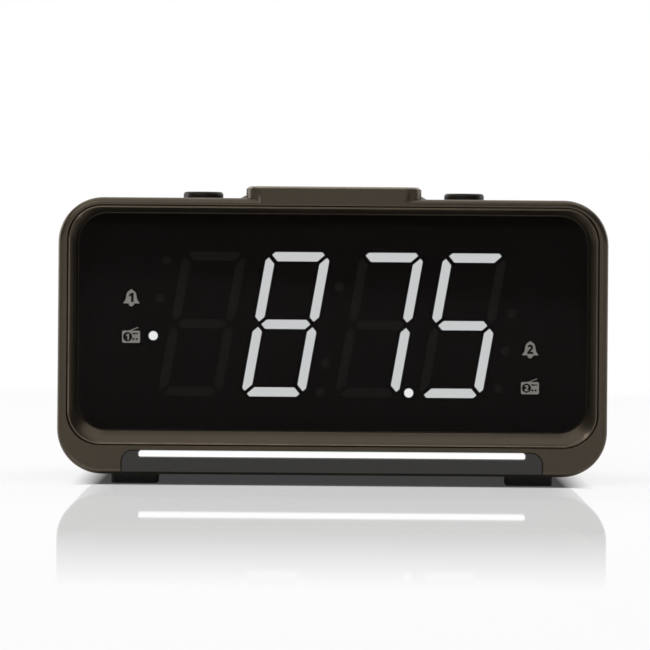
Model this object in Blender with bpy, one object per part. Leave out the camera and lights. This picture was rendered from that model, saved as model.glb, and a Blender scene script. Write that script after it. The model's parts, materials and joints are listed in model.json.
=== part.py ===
"""A bedside clock radio with a large segment display, a night light and top-mounted keys.

The radio stands on four rubber feet on the plane z = 0. Its front faces -Y, +X is to the right of
someone looking at the display, and the origin is under the middle of its box. Lengths are metres.
"""

import math

import bmesh
import bpy
from mathutils import Vector

MM = 0.001

# Cabinet
BODY_WIDTH = 171.0 * MM
BODY_HEIGHT = 86.0 * MM
BODY_DEPTH = 66.0 * MM
BODY_RADIUS = 14.0 * MM
FOOT_HEIGHT = 3.1 * MM
WALL = 2.2 * MM
FRONT_WALL = 3.0 * MM
EDGE_ROUND = 2.0 * MM
COVER_THICKNESS = 3.0 * MM
LIP_DEPTH = 3.0 * MM
LIP_WALL = 1.5 * MM
COVER_RECESS = 0.6 * MM
GAP = 0.35 * MM

BODY_BOTTOM = FOOT_HEIGHT
BODY_TOP = BODY_BOTTOM + BODY_HEIGHT
BODY_MID = (BODY_BOTTOM + BODY_TOP) / 2
FRONT = -BODY_DEPTH / 2
REAR = BODY_DEPTH / 2
SEAM = REAR - COVER_THICKNESS
FLOOR = BODY_BOTTOM + WALL
CEILING = BODY_TOP - WALL
INSIDE_X = BODY_WIDTH / 2 - WALL

# Front bezel and lens: the openings as width, height, corner radius and the gap above each one
BEZEL_WIDTH = 165.0 * MM
BEZEL_TOP = BODY_TOP - 2.4 * MM
BEZEL_BOTTOM = BODY_BOTTOM + 9.1 * MM
BEZEL_RADIUS = 10.6 * MM
BEZEL_DEPTH = 7.5 * MM
LIP_FLAT = 0.7 * MM
LENS_WIDTH = 158.6 * MM
LENS_TOP = BODY_TOP - 4.9 * MM
LENS_BOTTOM = BODY_BOTTOM + 13.7 * MM
LENS_RADIUS = 9.0 * MM
LENS_SETBACK = 3.0 * MM
LENS_THICKNESS = 2.0 * MM
LENS_LEDGE = 3.4 * MM

BEZEL_MID = (BEZEL_TOP + BEZEL_BOTTOM) / 2
BEZEL_HEIGHT = BEZEL_TOP - BEZEL_BOTTOM
LENS_MID = (LENS_TOP + LENS_BOTTOM) / 2
LENS_HEIGHT = LENS_TOP - LENS_BOTTOM
LENS_FRONT = FRONT + LENS_SETBACK
LENS_BACK = LENS_FRONT + LENS_THICKNESS
LEDGE_FRONT = LENS_BACK + GAP
BEZEL_BACK = FRONT + BEZEL_DEPTH

# Display: four slanted seven-segment digits, with wells in the reflector
DIGIT_HEIGHT = 45.7 * MM
DIGIT_WIDTH = 20.5 * MM
DIGIT_SLANT = math.radians(10.0)
DIGIT_PITCH = 25.9 * MM
COLON_SPACE = 3.1 * MM
COLON_REACH = 11.8 * MM
SEGMENT_THICKNESS = 3.3 * MM
SEGMENT_GAP = 0.35 * MM
POINT_RADIUS = 1.55 * MM
DOT_PITCH = 11.7 * MM
DOT_START = 19.7 * MM
DOT_OUTSET = 14.7 * MM
DIGIT_CENTRE_Z = BODY_TOP - 39.4 * MM
DIFFUSER_THICKNESS = 0.3 * MM
REFLECTOR_DEPTH = 7.6 * MM
WELL_DEPTH = 5.6 * MM
BOARD_THICKNESS = 1.6 * MM
DISPLAY_BOARD_SIZE = (163.0 * MM, 63.0 * MM)
DISPLAY_SCREW_X = 79.1 * MM
DISPLAY_SCREW_Z = 26.0 * MM

DIFFUSER_FRONT = LEDGE_FRONT + 0.3 * MM
REFLECTOR_FRONT = DIFFUSER_FRONT + DIFFUSER_THICKNESS + GAP
REFLECTOR_BACK = REFLECTOR_FRONT + REFLECTOR_DEPTH
DISPLAY_BOARD_FRONT = REFLECTOR_BACK + GAP
DISPLAY_BOARD_BACK = DISPLAY_BOARD_FRONT + BOARD_THICKNESS

# Night light in the chin under the bezel
PANEL_WIDTH = 130.6 * MM
PANEL_BOTTOM = BODY_BOTTOM + 0.8 * MM
PANEL_TOP = BODY_BOTTOM + 7.4 * MM
PANEL_RADIUS = 3.4 * MM
PANEL_THICKNESS = 1.5 * MM
BAR_WIDTH = 120.0 * MM
BAR_BOTTOM = BODY_BOTTOM + 5.55 * MM
BAR_TOP = BODY_BOTTOM + 7.2 * MM
BAR_BACK = FRONT + 4.4 * MM
LIGHT_BOARD_SIZE = (122.0 * MM, 5.4 * MM)
LIGHT_BOARD_THICKNESS = 1.0 * MM

# Keys on the top
KEY_TRAVEL = 0.45 * MM
KEY_CLEARANCE = 0.1 * MM
HUMP_WIDTH = 54.6 * MM
HUMP_DEPTH = 23.0 * MM
HUMP_RADIUS = 5.3 * MM
HUMP_HEIGHT = 2.5 * MM
SNOOZE_THICKNESS = 0.75 * MM
SNOOZE_ROUND = 0.35 * MM
PLUNGER_SIZE = (45.0 * MM, 4.2 * MM)
ROUND_BUTTON_X = 41.2 * MM
ROUND_BUTTON_RADIUS = 6.3 * MM
ROUND_BUTTON_PROUD = 2.1 * MM
ISLAND_WIDTH = 59.6 * MM
ISLAND_DEPTH = 17.0 * MM
ISLAND_HEIGHT = 1.25 * MM
ISLAND_SLOPE = 2.0 * MM
FUNCTION_KEYS = 5
FUNCTION_PITCH = 10.8 * MM
FUNCTION_SIZE = (8.0 * MM, 6.0 * MM)
FUNCTION_PROUD = 0.7 * MM
FLANGE = 0.9 * MM
SWITCH_BOARD_Z = 80.0 * MM
SWITCH_SIZE = 6.0 * MM
SWITCH_HEIGHT = 2.6 * MM
ACTUATOR_RADIUS = 1.7 * MM

HUMP_TOP = BODY_TOP + HUMP_HEIGHT
HUMP_Y = FRONT + HUMP_DEPTH / 2
SNOOZE_BOTTOM = HUMP_TOP + KEY_TRAVEL + KEY_CLEARANCE
SNOOZE_TOP = SNOOZE_BOTTOM + SNOOZE_THICKNESS
KEY_LINE_Y = FRONT + HUMP_DEPTH - 3.7 * MM
ISLAND_FRONT = FRONT + HUMP_DEPTH + 0.6 * MM
ISLAND_Y = ISLAND_FRONT + ISLAND_DEPTH / 2
ISLAND_TOP = BODY_TOP + ISLAND_HEIGHT
STEM_BOTTOM = BODY_TOP - 3.4 * MM
ACTUATOR_TOP = STEM_BOTTOM - KEY_TRAVEL - KEY_CLEARANCE
SWITCH_BOTTOM = SWITCH_BOARD_Z + BOARD_THICKNESS + GAP

# Screws and their bosses
BOSS_RADIUS = 4.8 * MM
BOSS_REACH = 7.4 * MM
BOSS_LENGTH = 18.0 * MM
PILOT_RADIUS = 1.65 * MM
SCREW_RADIUS = 1.3 * MM
SCREW_HEAD_RADIUS = 2.5 * MM
SCREW_HEAD = 1.2 * MM
SCREW_LENGTH = 10.0 * MM
SMALL_SCREW_LENGTH = 6.0 * MM
POST_RADIUS = 2.7 * MM

# Speaker on the rear cover
SPEAKER_X = -42.0 * MM
SPEAKER_Z = BODY_MID + 2.0 * MM
SPEAKER_RADIUS = 25.0 * MM
SPEAKER_DEPTH = 17.0 * MM
GRILLE_RADIUS = 22.0 * MM
GRILLE_SLOT = 1.8 * MM
GRILLE_PITCH = 4.0 * MM

# Backup cells under the floor's slide door
CELL_RADIUS = 5.25 * MM
CELL_LENGTH = 44.5 * MM
CELL_PITCH = 10.9 * MM
DOOR_WIDTH = 48.4 * MM
DOOR_FRONT = 1.5 * MM
DOOR_SKIN = 1.0 * MM
DOOR_RAIL = 0.8 * MM
DOOR_RAIL_REACH = 1.0 * MM
TRAY_WIDTH = 52.4 * MM
TRAY_DEPTH = 24.6 * MM
TRAY_HEIGHT = 13.6 * MM
TRAY_WALL = 1.3 * MM
TRAY_Y = DOOR_FRONT + 0.4 * MM + TRAY_DEPTH / 2
TRAY_BOTTOM = FLOOR + GAP
CELL_Z = TRAY_BOTTOM + CELL_RADIUS + 0.6 * MM

# Main board and rear sockets
MAIN_BOARD_X = (28.0 * MM, 69.0 * MM)
MAIN_BOARD_Y = (-12.0 * MM, 26.0 * MM)
MAIN_BOARD_Z = 12.0 * MM
MAIN_POST_INSET = 4.0 * MM
JACK_X = 58.0 * MM
JACK_SIZE = (9.0 * MM, 13.0 * MM, 11.0 * MM)
JACK_BORE = 3.2 * MM
JACK_PIN = 1.0 * MM
GLAND_X = 34.0 * MM
GLAND_Z = 34.0 * MM
GLAND_RADIUS = 2.8 * MM
GLAND_BORE = 1.0 * MM

JACK_Z = MAIN_BOARD_Z + BOARD_THICKNESS + GAP + JACK_SIZE[2] / 2

# Feet
FOOT_SIZE = (14.7 * MM, 9.0 * MM)
FOOT_X = 61.5 * MM
FOOT_Y = 23.5 * MM
FOOT_POCKET = 0.6 * MM
FOOT_RADIUS = 1.5 * MM

# Smoothness
BODY_STEPS = 7
EDGE_STEPS = 3
SMALL_STEPS = 2
ROUND_STEPS = 28
SCREW_STEPS = 12

# Finish name: colour, roughness, metallic
FINISHES = {
    "bronze": ((0.085, 0.066, 0.046), 0.36, 0.55),
    "bronze_light": ((0.13, 0.10, 0.07), 0.33, 0.6),
    "dark_gloss": ((0.012, 0.010, 0.008), 0.16, 0.0),
    "graphite": ((0.035, 0.032, 0.029), 0.4, 0.2),
    "smoked_window": ((0.006, 0.005, 0.005), 0.05, 0.0),
    "frosted_white": ((0.9, 0.9, 0.9), 0.45, 0.0),
    "white_plastic": ((0.75, 0.75, 0.73), 0.5, 0.0),
    "black_plastic": ((0.018, 0.017, 0.016), 0.5, 0.0),
    "board_green": ((0.02, 0.12, 0.05), 0.4, 0.0),
    "steel": ((0.55, 0.55, 0.56), 0.3, 1.0),
    "brass": ((0.7, 0.5, 0.2), 0.3, 1.0),
    "ferrite": ((0.03, 0.03, 0.03), 0.6, 0.3),
    "paper": ((0.03, 0.03, 0.032), 0.8, 0.0),
    "rubber": ((0.012, 0.012, 0.012), 0.8, 0.0),
    "cell": ((0.08, 0.10, 0.13), 0.35, 0.4),
    "ribbon": ((0.45, 0.45, 0.43), 0.5, 0.0),
}


def clear_scene():
    for item in list(bpy.data.objects):
        bpy.data.objects.remove(item)


# Outlines, as counter-clockwise (u, v) points


def rounded_rect(width, height, radius, centre=(0.0, 0.0), steps=BODY_STEPS):
    points = []
    for corner in range(4):
        turn = corner * math.pi / 2
        side_u = (width / 2 - radius) * (1 if corner in (0, 3) else -1)
        side_v = (height / 2 - radius) * (1 if corner in (0, 1) else -1)
        for step in range(steps + 1):
            angle = turn + step * math.pi / 2 / steps
            points.append(
                (
                    centre[0] + side_u + radius * math.cos(angle),
                    centre[1] + side_v + radius * math.sin(angle),
                )
            )
    return points


def circle(radius, centre=(0.0, 0.0), steps=ROUND_STEPS):
    turns = [2 * math.pi * step / steps for step in range(steps)]
    return [(centre[0] + radius * math.cos(a), centre[1] + radius * math.sin(a)) for a in turns]


def facing_front(outline, y):
    return [Vector((u, y, v)) for u, v in outline]


def facing_up(outline, z):
    return [Vector((u, v, z)) for u, v in outline]


# Closed shells, added to a mesh under construction


def add_rings(bm, rings, closed=False):
    """Joins rings of equal point count, and caps the ends unless the rings close on themselves."""
    rows = [[bm.verts.new(point) for point in ring] for ring in rings]
    pairs = list(zip(rows, rows[1:]))
    if closed:
        pairs.append((rows[-1], rows[0]))
    for near, far in pairs:
        count = len(near)
        for i in range(count):
            j = (i + 1) % count
            bm.faces.new((near[i], near[j], far[j], far[i]))
    if not closed:
        bm.faces.new(rows[0])
        bm.faces.new(list(reversed(rows[-1])))


def add_prism(bm, outline, start, end, place):
    add_rings(bm, [place(outline, start), place(outline, end)])


def add_box(bm, low, high):
    outline = [(low[0], low[1]), (high[0], low[1]), (high[0], high[1]), (low[0], high[1])]
    add_prism(bm, outline, low[2], high[2], facing_up)


def add_turned(bm, profile, centre, axis, steps=ROUND_STEPS):
    """Turns (radius, height) points about an axis; a radius of zero is a point on the axis."""
    turn = Vector((0, 0, 1)).rotation_difference(Vector(axis)).to_matrix()
    centre = Vector(centre)
    rows = []
    for radius, height in profile:
        ring = circle(radius, steps=steps) if radius else [(0.0, 0.0)]
        rows.append([bm.verts.new(centre + turn @ Vector((u, v, height))) for u, v in ring])
    on_axis = not profile[0][0]
    pairs = list(zip(rows, rows[1:]))
    if not on_axis:
        pairs.append((rows[-1], rows[0]))
    for near, far in pairs:
        for i in range(steps):
            j = (i + 1) % steps
            if len(near) == 1:
                bm.faces.new((near[0], far[j], far[i]))
            elif len(far) == 1:
                bm.faces.new((near[i], near[j], far[0]))
            else:
                bm.faces.new((near[i], near[j], far[j], far[i]))


def add_cylinder(bm, radius, start, end, centre, axis, steps=ROUND_STEPS):
    add_turned(bm, [(0, start), (radius, start), (radius, end), (0, end)], centre, axis, steps)


# Objects


def make_object(name, bm, origin=(0.0, 0.0, 0.0)):
    bmesh.ops.recalc_face_normals(bm, faces=bm.faces)
    mesh = bpy.data.meshes.new(name)
    bmesh.ops.translate(bm, verts=bm.verts, vec=-Vector(origin))
    bm.to_mesh(mesh)
    bm.free()
    item = bpy.data.objects.new(name, mesh)
    item.location = origin
    bpy.context.scene.collection.objects.link(item)
    return item


def make_part(name, bm, finish, origin=(0.0, 0.0, 0.0)):
    part = make_object(name, bm, origin)
    colour, roughness, metallic = FINISHES[finish]
    material = bpy.data.materials.new(f"{name}_{finish}")
    material.use_nodes = True
    shader = material.node_tree.nodes["Principled BSDF"]
    shader.inputs["Base Color"].default_value = (*colour, 1.0)
    shader.inputs["Roughness"].default_value = roughness
    shader.inputs["Metallic"].default_value = metallic
    part.data.materials.append(material)
    part.data.shade_smooth()
    part.data.set_sharp_from_angle(angle=math.radians(35))
    return part


def combine(part, name, bm, operation):
    """Adds a guide's shells to a part, or cuts them from it, with a Boolean that stays live."""
    guide = make_object(f"{part.name}_{name}", bm)
    guide.hide_render = True
    guide.display_type = "WIRE"
    boolean = part.modifiers.new(name, "BOOLEAN")
    boolean.operation = operation
    boolean.solver = "EXACT"
    boolean.use_self = True
    boolean.object = guide


# Shared geometry


def body_ring(inset, y):
    outline = rounded_rect(
        BODY_WIDTH - 2 * inset, BODY_HEIGHT - 2 * inset, BODY_RADIUS - inset, (0, BODY_MID)
    )
    return facing_front(outline, y)


def rounded_edge(start_y, direction):
    """Body rings around a quarter-round edge, from the side wall at start_y to the flat face."""
    rings = []
    for step in range(EDGE_STEPS + 1):
        angle = step * math.pi / 2 / EDGE_STEPS
        inset = EDGE_ROUND * (1 - math.cos(angle))
        rings.append(body_ring(inset, start_y + direction * EDGE_ROUND * math.sin(angle)))
    return rings


def bezel_ring(inset, y):
    outline = rounded_rect(
        BEZEL_WIDTH - 2 * inset, BEZEL_HEIGHT - 2 * inset, BEZEL_RADIUS - inset, (0, BEZEL_MID)
    )
    return facing_front(outline, y)


def lens_ring(inset, y):
    outline = rounded_rect(
        LENS_WIDTH - 2 * inset, LENS_HEIGHT - 2 * inset, LENS_RADIUS - inset, (0, LENS_MID)
    )
    return facing_front(outline, y)


def corner_bosses():
    """Centres of the four rear cover screws, in from the cabinet's rounded corners."""
    offset = BODY_RADIUS - BOSS_REACH * math.sqrt(0.5)
    reach_x = BODY_WIDTH / 2 - offset
    reach_z = BODY_HEIGHT / 2 - offset
    return [(sx * reach_x, BODY_MID + sz * reach_z) for sz in (1, -1) for sx in (-1, 1)]


def function_key_places():
    middle = (FUNCTION_KEYS - 1) / 2
    return [((i - middle) * FUNCTION_PITCH, ISLAND_Y) for i in range(FUNCTION_KEYS)]


def main_post_places():
    low_x, high_x = MAIN_BOARD_X
    low_y, high_y = MAIN_BOARD_Y
    return [
        (x, y)
        for x in (low_x + MAIN_POST_INSET, high_x - MAIN_POST_INSET)
        for y in (low_y + MAIN_POST_INSET, high_y - MAIN_POST_INSET)
    ]


def foot_places():
    return [(sx * FOOT_X, sy * FOOT_Y) for sy in (-1, 1) for sx in (-1, 1)]


# Cabinet


def add_foot_pockets(bm):
    for x, y in foot_places():
        outline = rounded_rect(
            FOOT_SIZE[0] + 2 * GAP, FOOT_SIZE[1] + 2 * GAP, FOOT_RADIUS, (x, y), SMALL_STEPS
        )
        add_prism(bm, outline, 0.0, BODY_BOTTOM + FOOT_POCKET, facing_up)


def add_door_track(bm):
    half = DOOR_WIDTH / 2 + 0.3 * MM
    shoulder = BODY_BOTTOM + DOOR_SKIN + 0.1 * MM
    beyond = REAR + 5 * MM
    wide = half + DOOR_RAIL_REACH
    front = DOOR_FRONT - 0.3 * MM
    add_box(bm, (-half, front, BODY_BOTTOM - MM), (half, beyond, shoulder + MM))
    add_box(bm, (-wide, front, shoulder), (wide, beyond, FLOOR + 0.2 * MM))


def build_housing():
    bm = bmesh.new()
    rings = [body_ring(0, SEAM - GAP)]
    rings += rounded_edge(FRONT + EDGE_ROUND, -1)
    rings += [bezel_ring(0, FRONT), bezel_ring(0, FRONT + FRONT_WALL)]
    rings += [body_ring(WALL, FRONT + FRONT_WALL), body_ring(WALL, SEAM - GAP)]
    add_rings(bm, rings, closed=True)
    housing = make_part("housing", bm, "bronze")

    bm = bmesh.new()
    hump = rounded_rect(HUMP_WIDTH, HUMP_DEPTH, HUMP_RADIUS, (0, HUMP_Y))
    add_prism(bm, hump, BODY_TOP - EDGE_ROUND, HUMP_TOP, facing_up)
    for x, z in corner_bosses():
        end = SEAM - LIP_DEPTH - 0.4 * MM
        add_cylinder(bm, BOSS_RADIUS, end - BOSS_LENGTH, end, (x, 0, z), (0, 1, 0), 20)
    for x, y in main_post_places():
        top = MAIN_BOARD_Z - GAP
        add_cylinder(bm, POST_RADIUS, FLOOR - MM, top, (x, y, 0), (0, 0, 1), SCREW_STEPS)
    for x, y in switch_post_places():
        low = SWITCH_BOARD_Z + BOARD_THICKNESS + GAP
        add_cylinder(bm, POST_RADIUS, low, CEILING + MM, (x, y, 0), (0, 0, 1), SCREW_STEPS)
    combine(housing, "bosses", bm, "UNION")

    bm = bmesh.new()
    core_half = HUMP_WIDTH / 2 - WALL
    add_box(
        bm,
        (-core_half, FRONT + FRONT_WALL, CEILING - MM),
        (core_half, FRONT + HUMP_DEPTH - 1.4 * MM, HUMP_TOP - 1.2 * MM),
    )
    slot = rounded_rect(
        PLUNGER_SIZE[0] + MM, PLUNGER_SIZE[1] + 0.8 * MM, MM, (0, KEY_LINE_Y), SMALL_STEPS
    )
    add_prism(bm, slot, CEILING - MM, HUMP_TOP + MM, facing_up)
    for side in (-1, 1):
        place = (side * ROUND_BUTTON_X, KEY_LINE_Y, 0)
        hole = ROUND_BUTTON_RADIUS + 0.3 * MM
        add_cylinder(bm, hole, CEILING - MM, BODY_TOP + MM, place, (0, 0, 1))
    window = rounded_rect(
        ISLAND_WIDTH - 5.0 * MM, ISLAND_DEPTH - 4.0 * MM, MM, (0, ISLAND_Y), SMALL_STEPS
    )
    add_prism(bm, window, CEILING - MM, BODY_TOP + 0.2 * MM, facing_up)
    for x, z in corner_bosses():
        add_cylinder(bm, PILOT_RADIUS, SEAM - 16 * MM, SEAM, (x, 0, z), (0, 1, 0), SCREW_STEPS)
    for x, y in switch_post_places():
        low = SWITCH_BOARD_Z
        high = CEILING - 0.5 * MM
        add_cylinder(bm, PILOT_RADIUS, low, high, (x, y, 0), (0, 0, 1), SCREW_STEPS)
    add_foot_pockets(bm)
    add_door_track(bm)
    add_light_pocket(bm)
    combine(housing, "openings", bm, "DIFFERENCE")


def add_light_pocket(bm):
    pocket = panel_outline(0.35 * MM)
    add_prism(bm, pocket, FRONT - MM, FRONT + PANEL_THICKNESS + 0.4 * MM, facing_front)
    half = BAR_WIDTH / 2 + 0.4 * MM
    add_box(
        bm,
        (-half, FRONT - MM, BAR_BOTTOM - 0.35 * MM),
        (half, FRONT + FRONT_WALL + MM, BAR_TOP + 0.35 * MM),
    )


def panel_outline(grow):
    """The night light panel: square at the bottom, with two rounded top corners."""
    half = PANEL_WIDTH / 2 + grow
    low = PANEL_BOTTOM - grow
    high = PANEL_TOP + grow
    radius = PANEL_RADIUS + grow
    points = [(-half, low), (half, low)]
    for side, start in ((1, 0.0), (-1, math.pi / 2)):
        for step in range(BODY_STEPS + 1):
            angle = start + step * math.pi / 2 / BODY_STEPS
            points.append(
                (
                    side * (half - radius) + radius * math.cos(angle),
                    high - radius + radius * math.sin(angle),
                )
            )
    return points


def switch_post_places():
    return [(sx * 50.5 * MM, y) for sx in (-1, 1) for y in (-8.0 * MM, 6.0 * MM)]


def build_front_bezel():
    bm = bmesh.new()
    rings = [
        bezel_ring(GAP, BEZEL_BACK),
        bezel_ring(GAP, FRONT + 0.3 * MM),
        bezel_ring(GAP + 0.3 * MM, FRONT),
        bezel_ring(GAP + LIP_FLAT, FRONT),
        lens_ring(-0.3 * MM, LENS_FRONT - 0.1 * MM),
        lens_ring(-0.3 * MM, LEDGE_FRONT),
        lens_ring(LENS_LEDGE, LEDGE_FRONT),
        lens_ring(LENS_LEDGE, BEZEL_BACK),
    ]
    add_rings(bm, rings, closed=True)
    bezel = make_part("front_bezel", bm, "bronze")

    bm = bmesh.new()
    for x, z in display_screw_places():
        place = (x, 0, z)
        end = DISPLAY_BOARD_FRONT - GAP
        add_cylinder(bm, 2.6 * MM, BEZEL_BACK - MM, end, place, (0, 1, 0), SCREW_STEPS)
    combine(bezel, "bosses", bm, "UNION")

    bm = bmesh.new()
    for x, z in display_screw_places():
        start = BEZEL_BACK - 0.5 * MM
        add_cylinder(bm, PILOT_RADIUS, start, 0, (x, 0, z), (0, 1, 0), SCREW_STEPS)
    combine(bezel, "pilots", bm, "DIFFERENCE")


def display_screw_places():
    return [
        (sx * DISPLAY_SCREW_X, LENS_MID + sz * DISPLAY_SCREW_Z) for sx in (-1, 1) for sz in (-1, 1)
    ]


def build_rear_cover():
    lip_inset = WALL + GAP
    rings = list(reversed(rounded_edge(REAR - EDGE_ROUND, 1)))
    rings += [body_ring(0, SEAM), body_ring(lip_inset, SEAM)]
    rings += [body_ring(lip_inset, SEAM - LIP_DEPTH)]
    rings += [body_ring(lip_inset + LIP_WALL, SEAM - LIP_DEPTH)]
    rings += [body_ring(lip_inset + LIP_WALL, SEAM + COVER_RECESS)]
    bm = bmesh.new()
    add_rings(bm, rings)
    cover = make_part("rear_cover", bm, "bronze")

    bm = bmesh.new()
    for x, z in corner_bosses():
        place = (x, 0, z)
        add_cylinder(bm, PILOT_RADIUS, SEAM - MM, REAR, place, (0, 1, 0), SCREW_STEPS)
        head = SCREW_HEAD_RADIUS + 0.5 * MM
        add_cylinder(bm, head, REAR - SCREW_HEAD - GAP, REAR + MM, place, (0, 1, 0), 16)
    add_grille_slots(bm)
    half = JACK_SIZE[0] / 2 + 0.3 * MM
    add_box(
        bm,
        (JACK_X - half, SEAM - MM, JACK_Z - half),
        (JACK_X + half, REAR + MM, JACK_Z + half),
    )
    gland_hole = GLAND_RADIUS + 0.3 * MM
    add_cylinder(bm, gland_hole, SEAM, REAR + MM, (GLAND_X, 0, GLAND_Z), (0, 1, 0), 16)
    add_door_track(bm)
    combine(cover, "openings", bm, "DIFFERENCE")


def add_grille_slots(bm):
    """Upright round-ended slots, each as tall as the speaker circle is at its place."""
    count = int(GRILLE_RADIUS / GRILLE_PITCH)
    for i in range(-count, count + 1):
        x = i * GRILLE_PITCH
        height = 2 * math.sqrt(GRILLE_RADIUS**2 - x**2)
        outline = rounded_rect(
            GRILLE_SLOT, height, GRILLE_SLOT / 2.01, (SPEAKER_X + x, SPEAKER_Z), SMALL_STEPS
        )
        add_prism(bm, outline, SEAM - MM, REAR + MM, facing_front)


# Display


def build_window_lens():
    bm = bmesh.new()
    bevel = 0.25 * MM
    rings = [lens_ring(bevel, LENS_FRONT), lens_ring(0, LENS_FRONT + bevel), lens_ring(0, LENS_BACK)]
    add_rings(bm, rings)
    make_part("window_lens", bm, "smoked_window")


def lean(point):
    """Slants a point of an upright digit about the digits' middle height."""
    u, v = point
    return (u + v * math.tan(DIGIT_SLANT), v + DIGIT_CENTRE_Z)


def segment_outline(ends, thickness):
    """A six-sided bar between two points of an upright digit, along either axis."""
    (u0, v0), (u1, v1) = ends
    half = thickness / 2
    along = Vector((u1 - u0, v1 - v0)).normalized()
    across = Vector((-along.y, along.x)) * half
    start = Vector((u0, v0)) + along * SEGMENT_GAP
    end = Vector((u1, v1)) - along * SEGMENT_GAP
    bar = [
        start,
        start + along * half - across,
        end - along * half - across,
        end,
        end - along * half + across,
        start + along * half + across,
    ]
    return [(point.x, point.y) for point in bar]


def digit_segments(centre_u):
    """The seven bars of one digit, in the usual order from the top bar to the middle one."""
    right = DIGIT_WIDTH / 2 - SEGMENT_THICKNESS / 2
    high = DIGIT_HEIGHT / 2 - SEGMENT_THICKNESS / 2
    corners = {
        "a": ((-right, high), (right, high)),
        "b": ((right, high), (right, 0)),
        "c": ((right, 0), (right, -high)),
        "d": ((right, -high), (-right, -high)),
        "e": ((-right, -high), (-right, 0)),
        "f": ((-right, 0), (-right, high)),
        "g": ((-right, 0), (right, 0)),
    }
    shapes = {}
    for name, ends in corners.items():
        bar = segment_outline(ends, SEGMENT_THICKNESS)
        shapes[name] = [lean((centre_u + u, v)) for u, v in bar]
    return shapes


def digit_centres():
    """Horizontal middles of the four digits; the pairs stand apart by the colon's space."""
    half = (3 * DIGIT_PITCH + COLON_SPACE) / 2
    return [-half, -half + DIGIT_PITCH, half - DIGIT_PITCH, half]


def point_places():
    """Upright-digit positions of the colon, the two decimal points and the outer indicators."""
    centres = digit_centres()
    low = (SEGMENT_THICKNESS - DIGIT_HEIGHT) / 2
    places = [(0.0, COLON_REACH), (0.0, -COLON_REACH)]
    places += [((near + far) / 2, low) for near, far in (centres[1:3], centres[2:4])]
    for side in (-1, 1):
        for step in range(3):
            height = -side * (DOT_START - step * DOT_PITCH)
            places.append((side * (centres[3] + DOT_OUTSET), height))
    return places


def build_display_reflector():
    bm = bmesh.new()
    inset = LENS_LEDGE + 0.5 * MM
    add_rings(bm, [lens_ring(inset, REFLECTOR_FRONT), lens_ring(inset, REFLECTOR_BACK)])
    reflector = make_part("display_reflector", bm, "black_plastic")

    bm = bmesh.new()
    deep = REFLECTOR_FRONT + WELL_DEPTH
    for centre in digit_centres():
        for outline in digit_segments(centre).values():
            add_prism(bm, outline, REFLECTOR_FRONT - MM, deep, facing_front)
    for place in point_places():
        add_prism(bm, circle(POINT_RADIUS, lean(place), 10), REFLECTOR_FRONT - MM, deep, facing_front)
    combine(reflector, "wells", bm, "DIFFERENCE")


def build_display_diffuser():
    bm = bmesh.new()
    inset = LENS_LEDGE + 0.5 * MM
    back = DIFFUSER_FRONT + DIFFUSER_THICKNESS
    add_rings(bm, [lens_ring(inset, DIFFUSER_FRONT), lens_ring(inset, back)])
    make_part("display_diffuser", bm, "frosted_white")


def build_display_board():
    bm = bmesh.new()
    outline = rounded_rect(*DISPLAY_BOARD_SIZE, 3 * MM, (0, LENS_MID), SMALL_STEPS)
    add_prism(bm, outline, DISPLAY_BOARD_FRONT, DISPLAY_BOARD_BACK, facing_front)
    board = make_part("display_board", bm, "board_green")
    bm = bmesh.new()
    for x, z in display_screw_places():
        start = DISPLAY_BOARD_FRONT - MM
        end = DISPLAY_BOARD_BACK + MM
        add_cylinder(bm, PILOT_RADIUS, start, end, (x, 0, z), (0, 1, 0), SCREW_STEPS)
    combine(board, "screw_holes", bm, "DIFFERENCE")


# Night light


def build_nightlight_panel():
    bm = bmesh.new()
    add_prism(bm, panel_outline(0), FRONT, FRONT + PANEL_THICKNESS, facing_front)
    panel = make_part("nightlight_panel", bm, "graphite")
    bm = bmesh.new()
    half = BAR_WIDTH / 2 + 0.3 * MM
    add_box(
        bm,
        (-half, FRONT - MM, BAR_BOTTOM - 0.3 * MM),
        (half, FRONT + PANEL_THICKNESS + MM, PANEL_TOP + MM),
    )
    combine(panel, "bar_notch", bm, "DIFFERENCE")


def build_nightlight_bar():
    bm = bmesh.new()
    middle = (0, (BAR_BOTTOM + BAR_TOP) / 2)
    outline = rounded_rect(BAR_WIDTH, BAR_TOP - BAR_BOTTOM, 0.5 * MM, middle, SMALL_STEPS)
    add_prism(bm, outline, FRONT, BAR_BACK, facing_front)
    make_part("nightlight_bar", bm, "frosted_white")


def build_nightlight_board():
    bm = bmesh.new()
    half = LIGHT_BOARD_SIZE[0] / 2
    low = (BAR_BOTTOM + BAR_TOP) / 2 - LIGHT_BOARD_SIZE[1] / 2
    front = BAR_BACK + GAP
    add_box(
        bm,
        (-half, front, low),
        (half, front + LIGHT_BOARD_THICKNESS, low + LIGHT_BOARD_SIZE[1]),
    )
    make_part("nightlight_board", bm, "board_green")


# Keys


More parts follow.
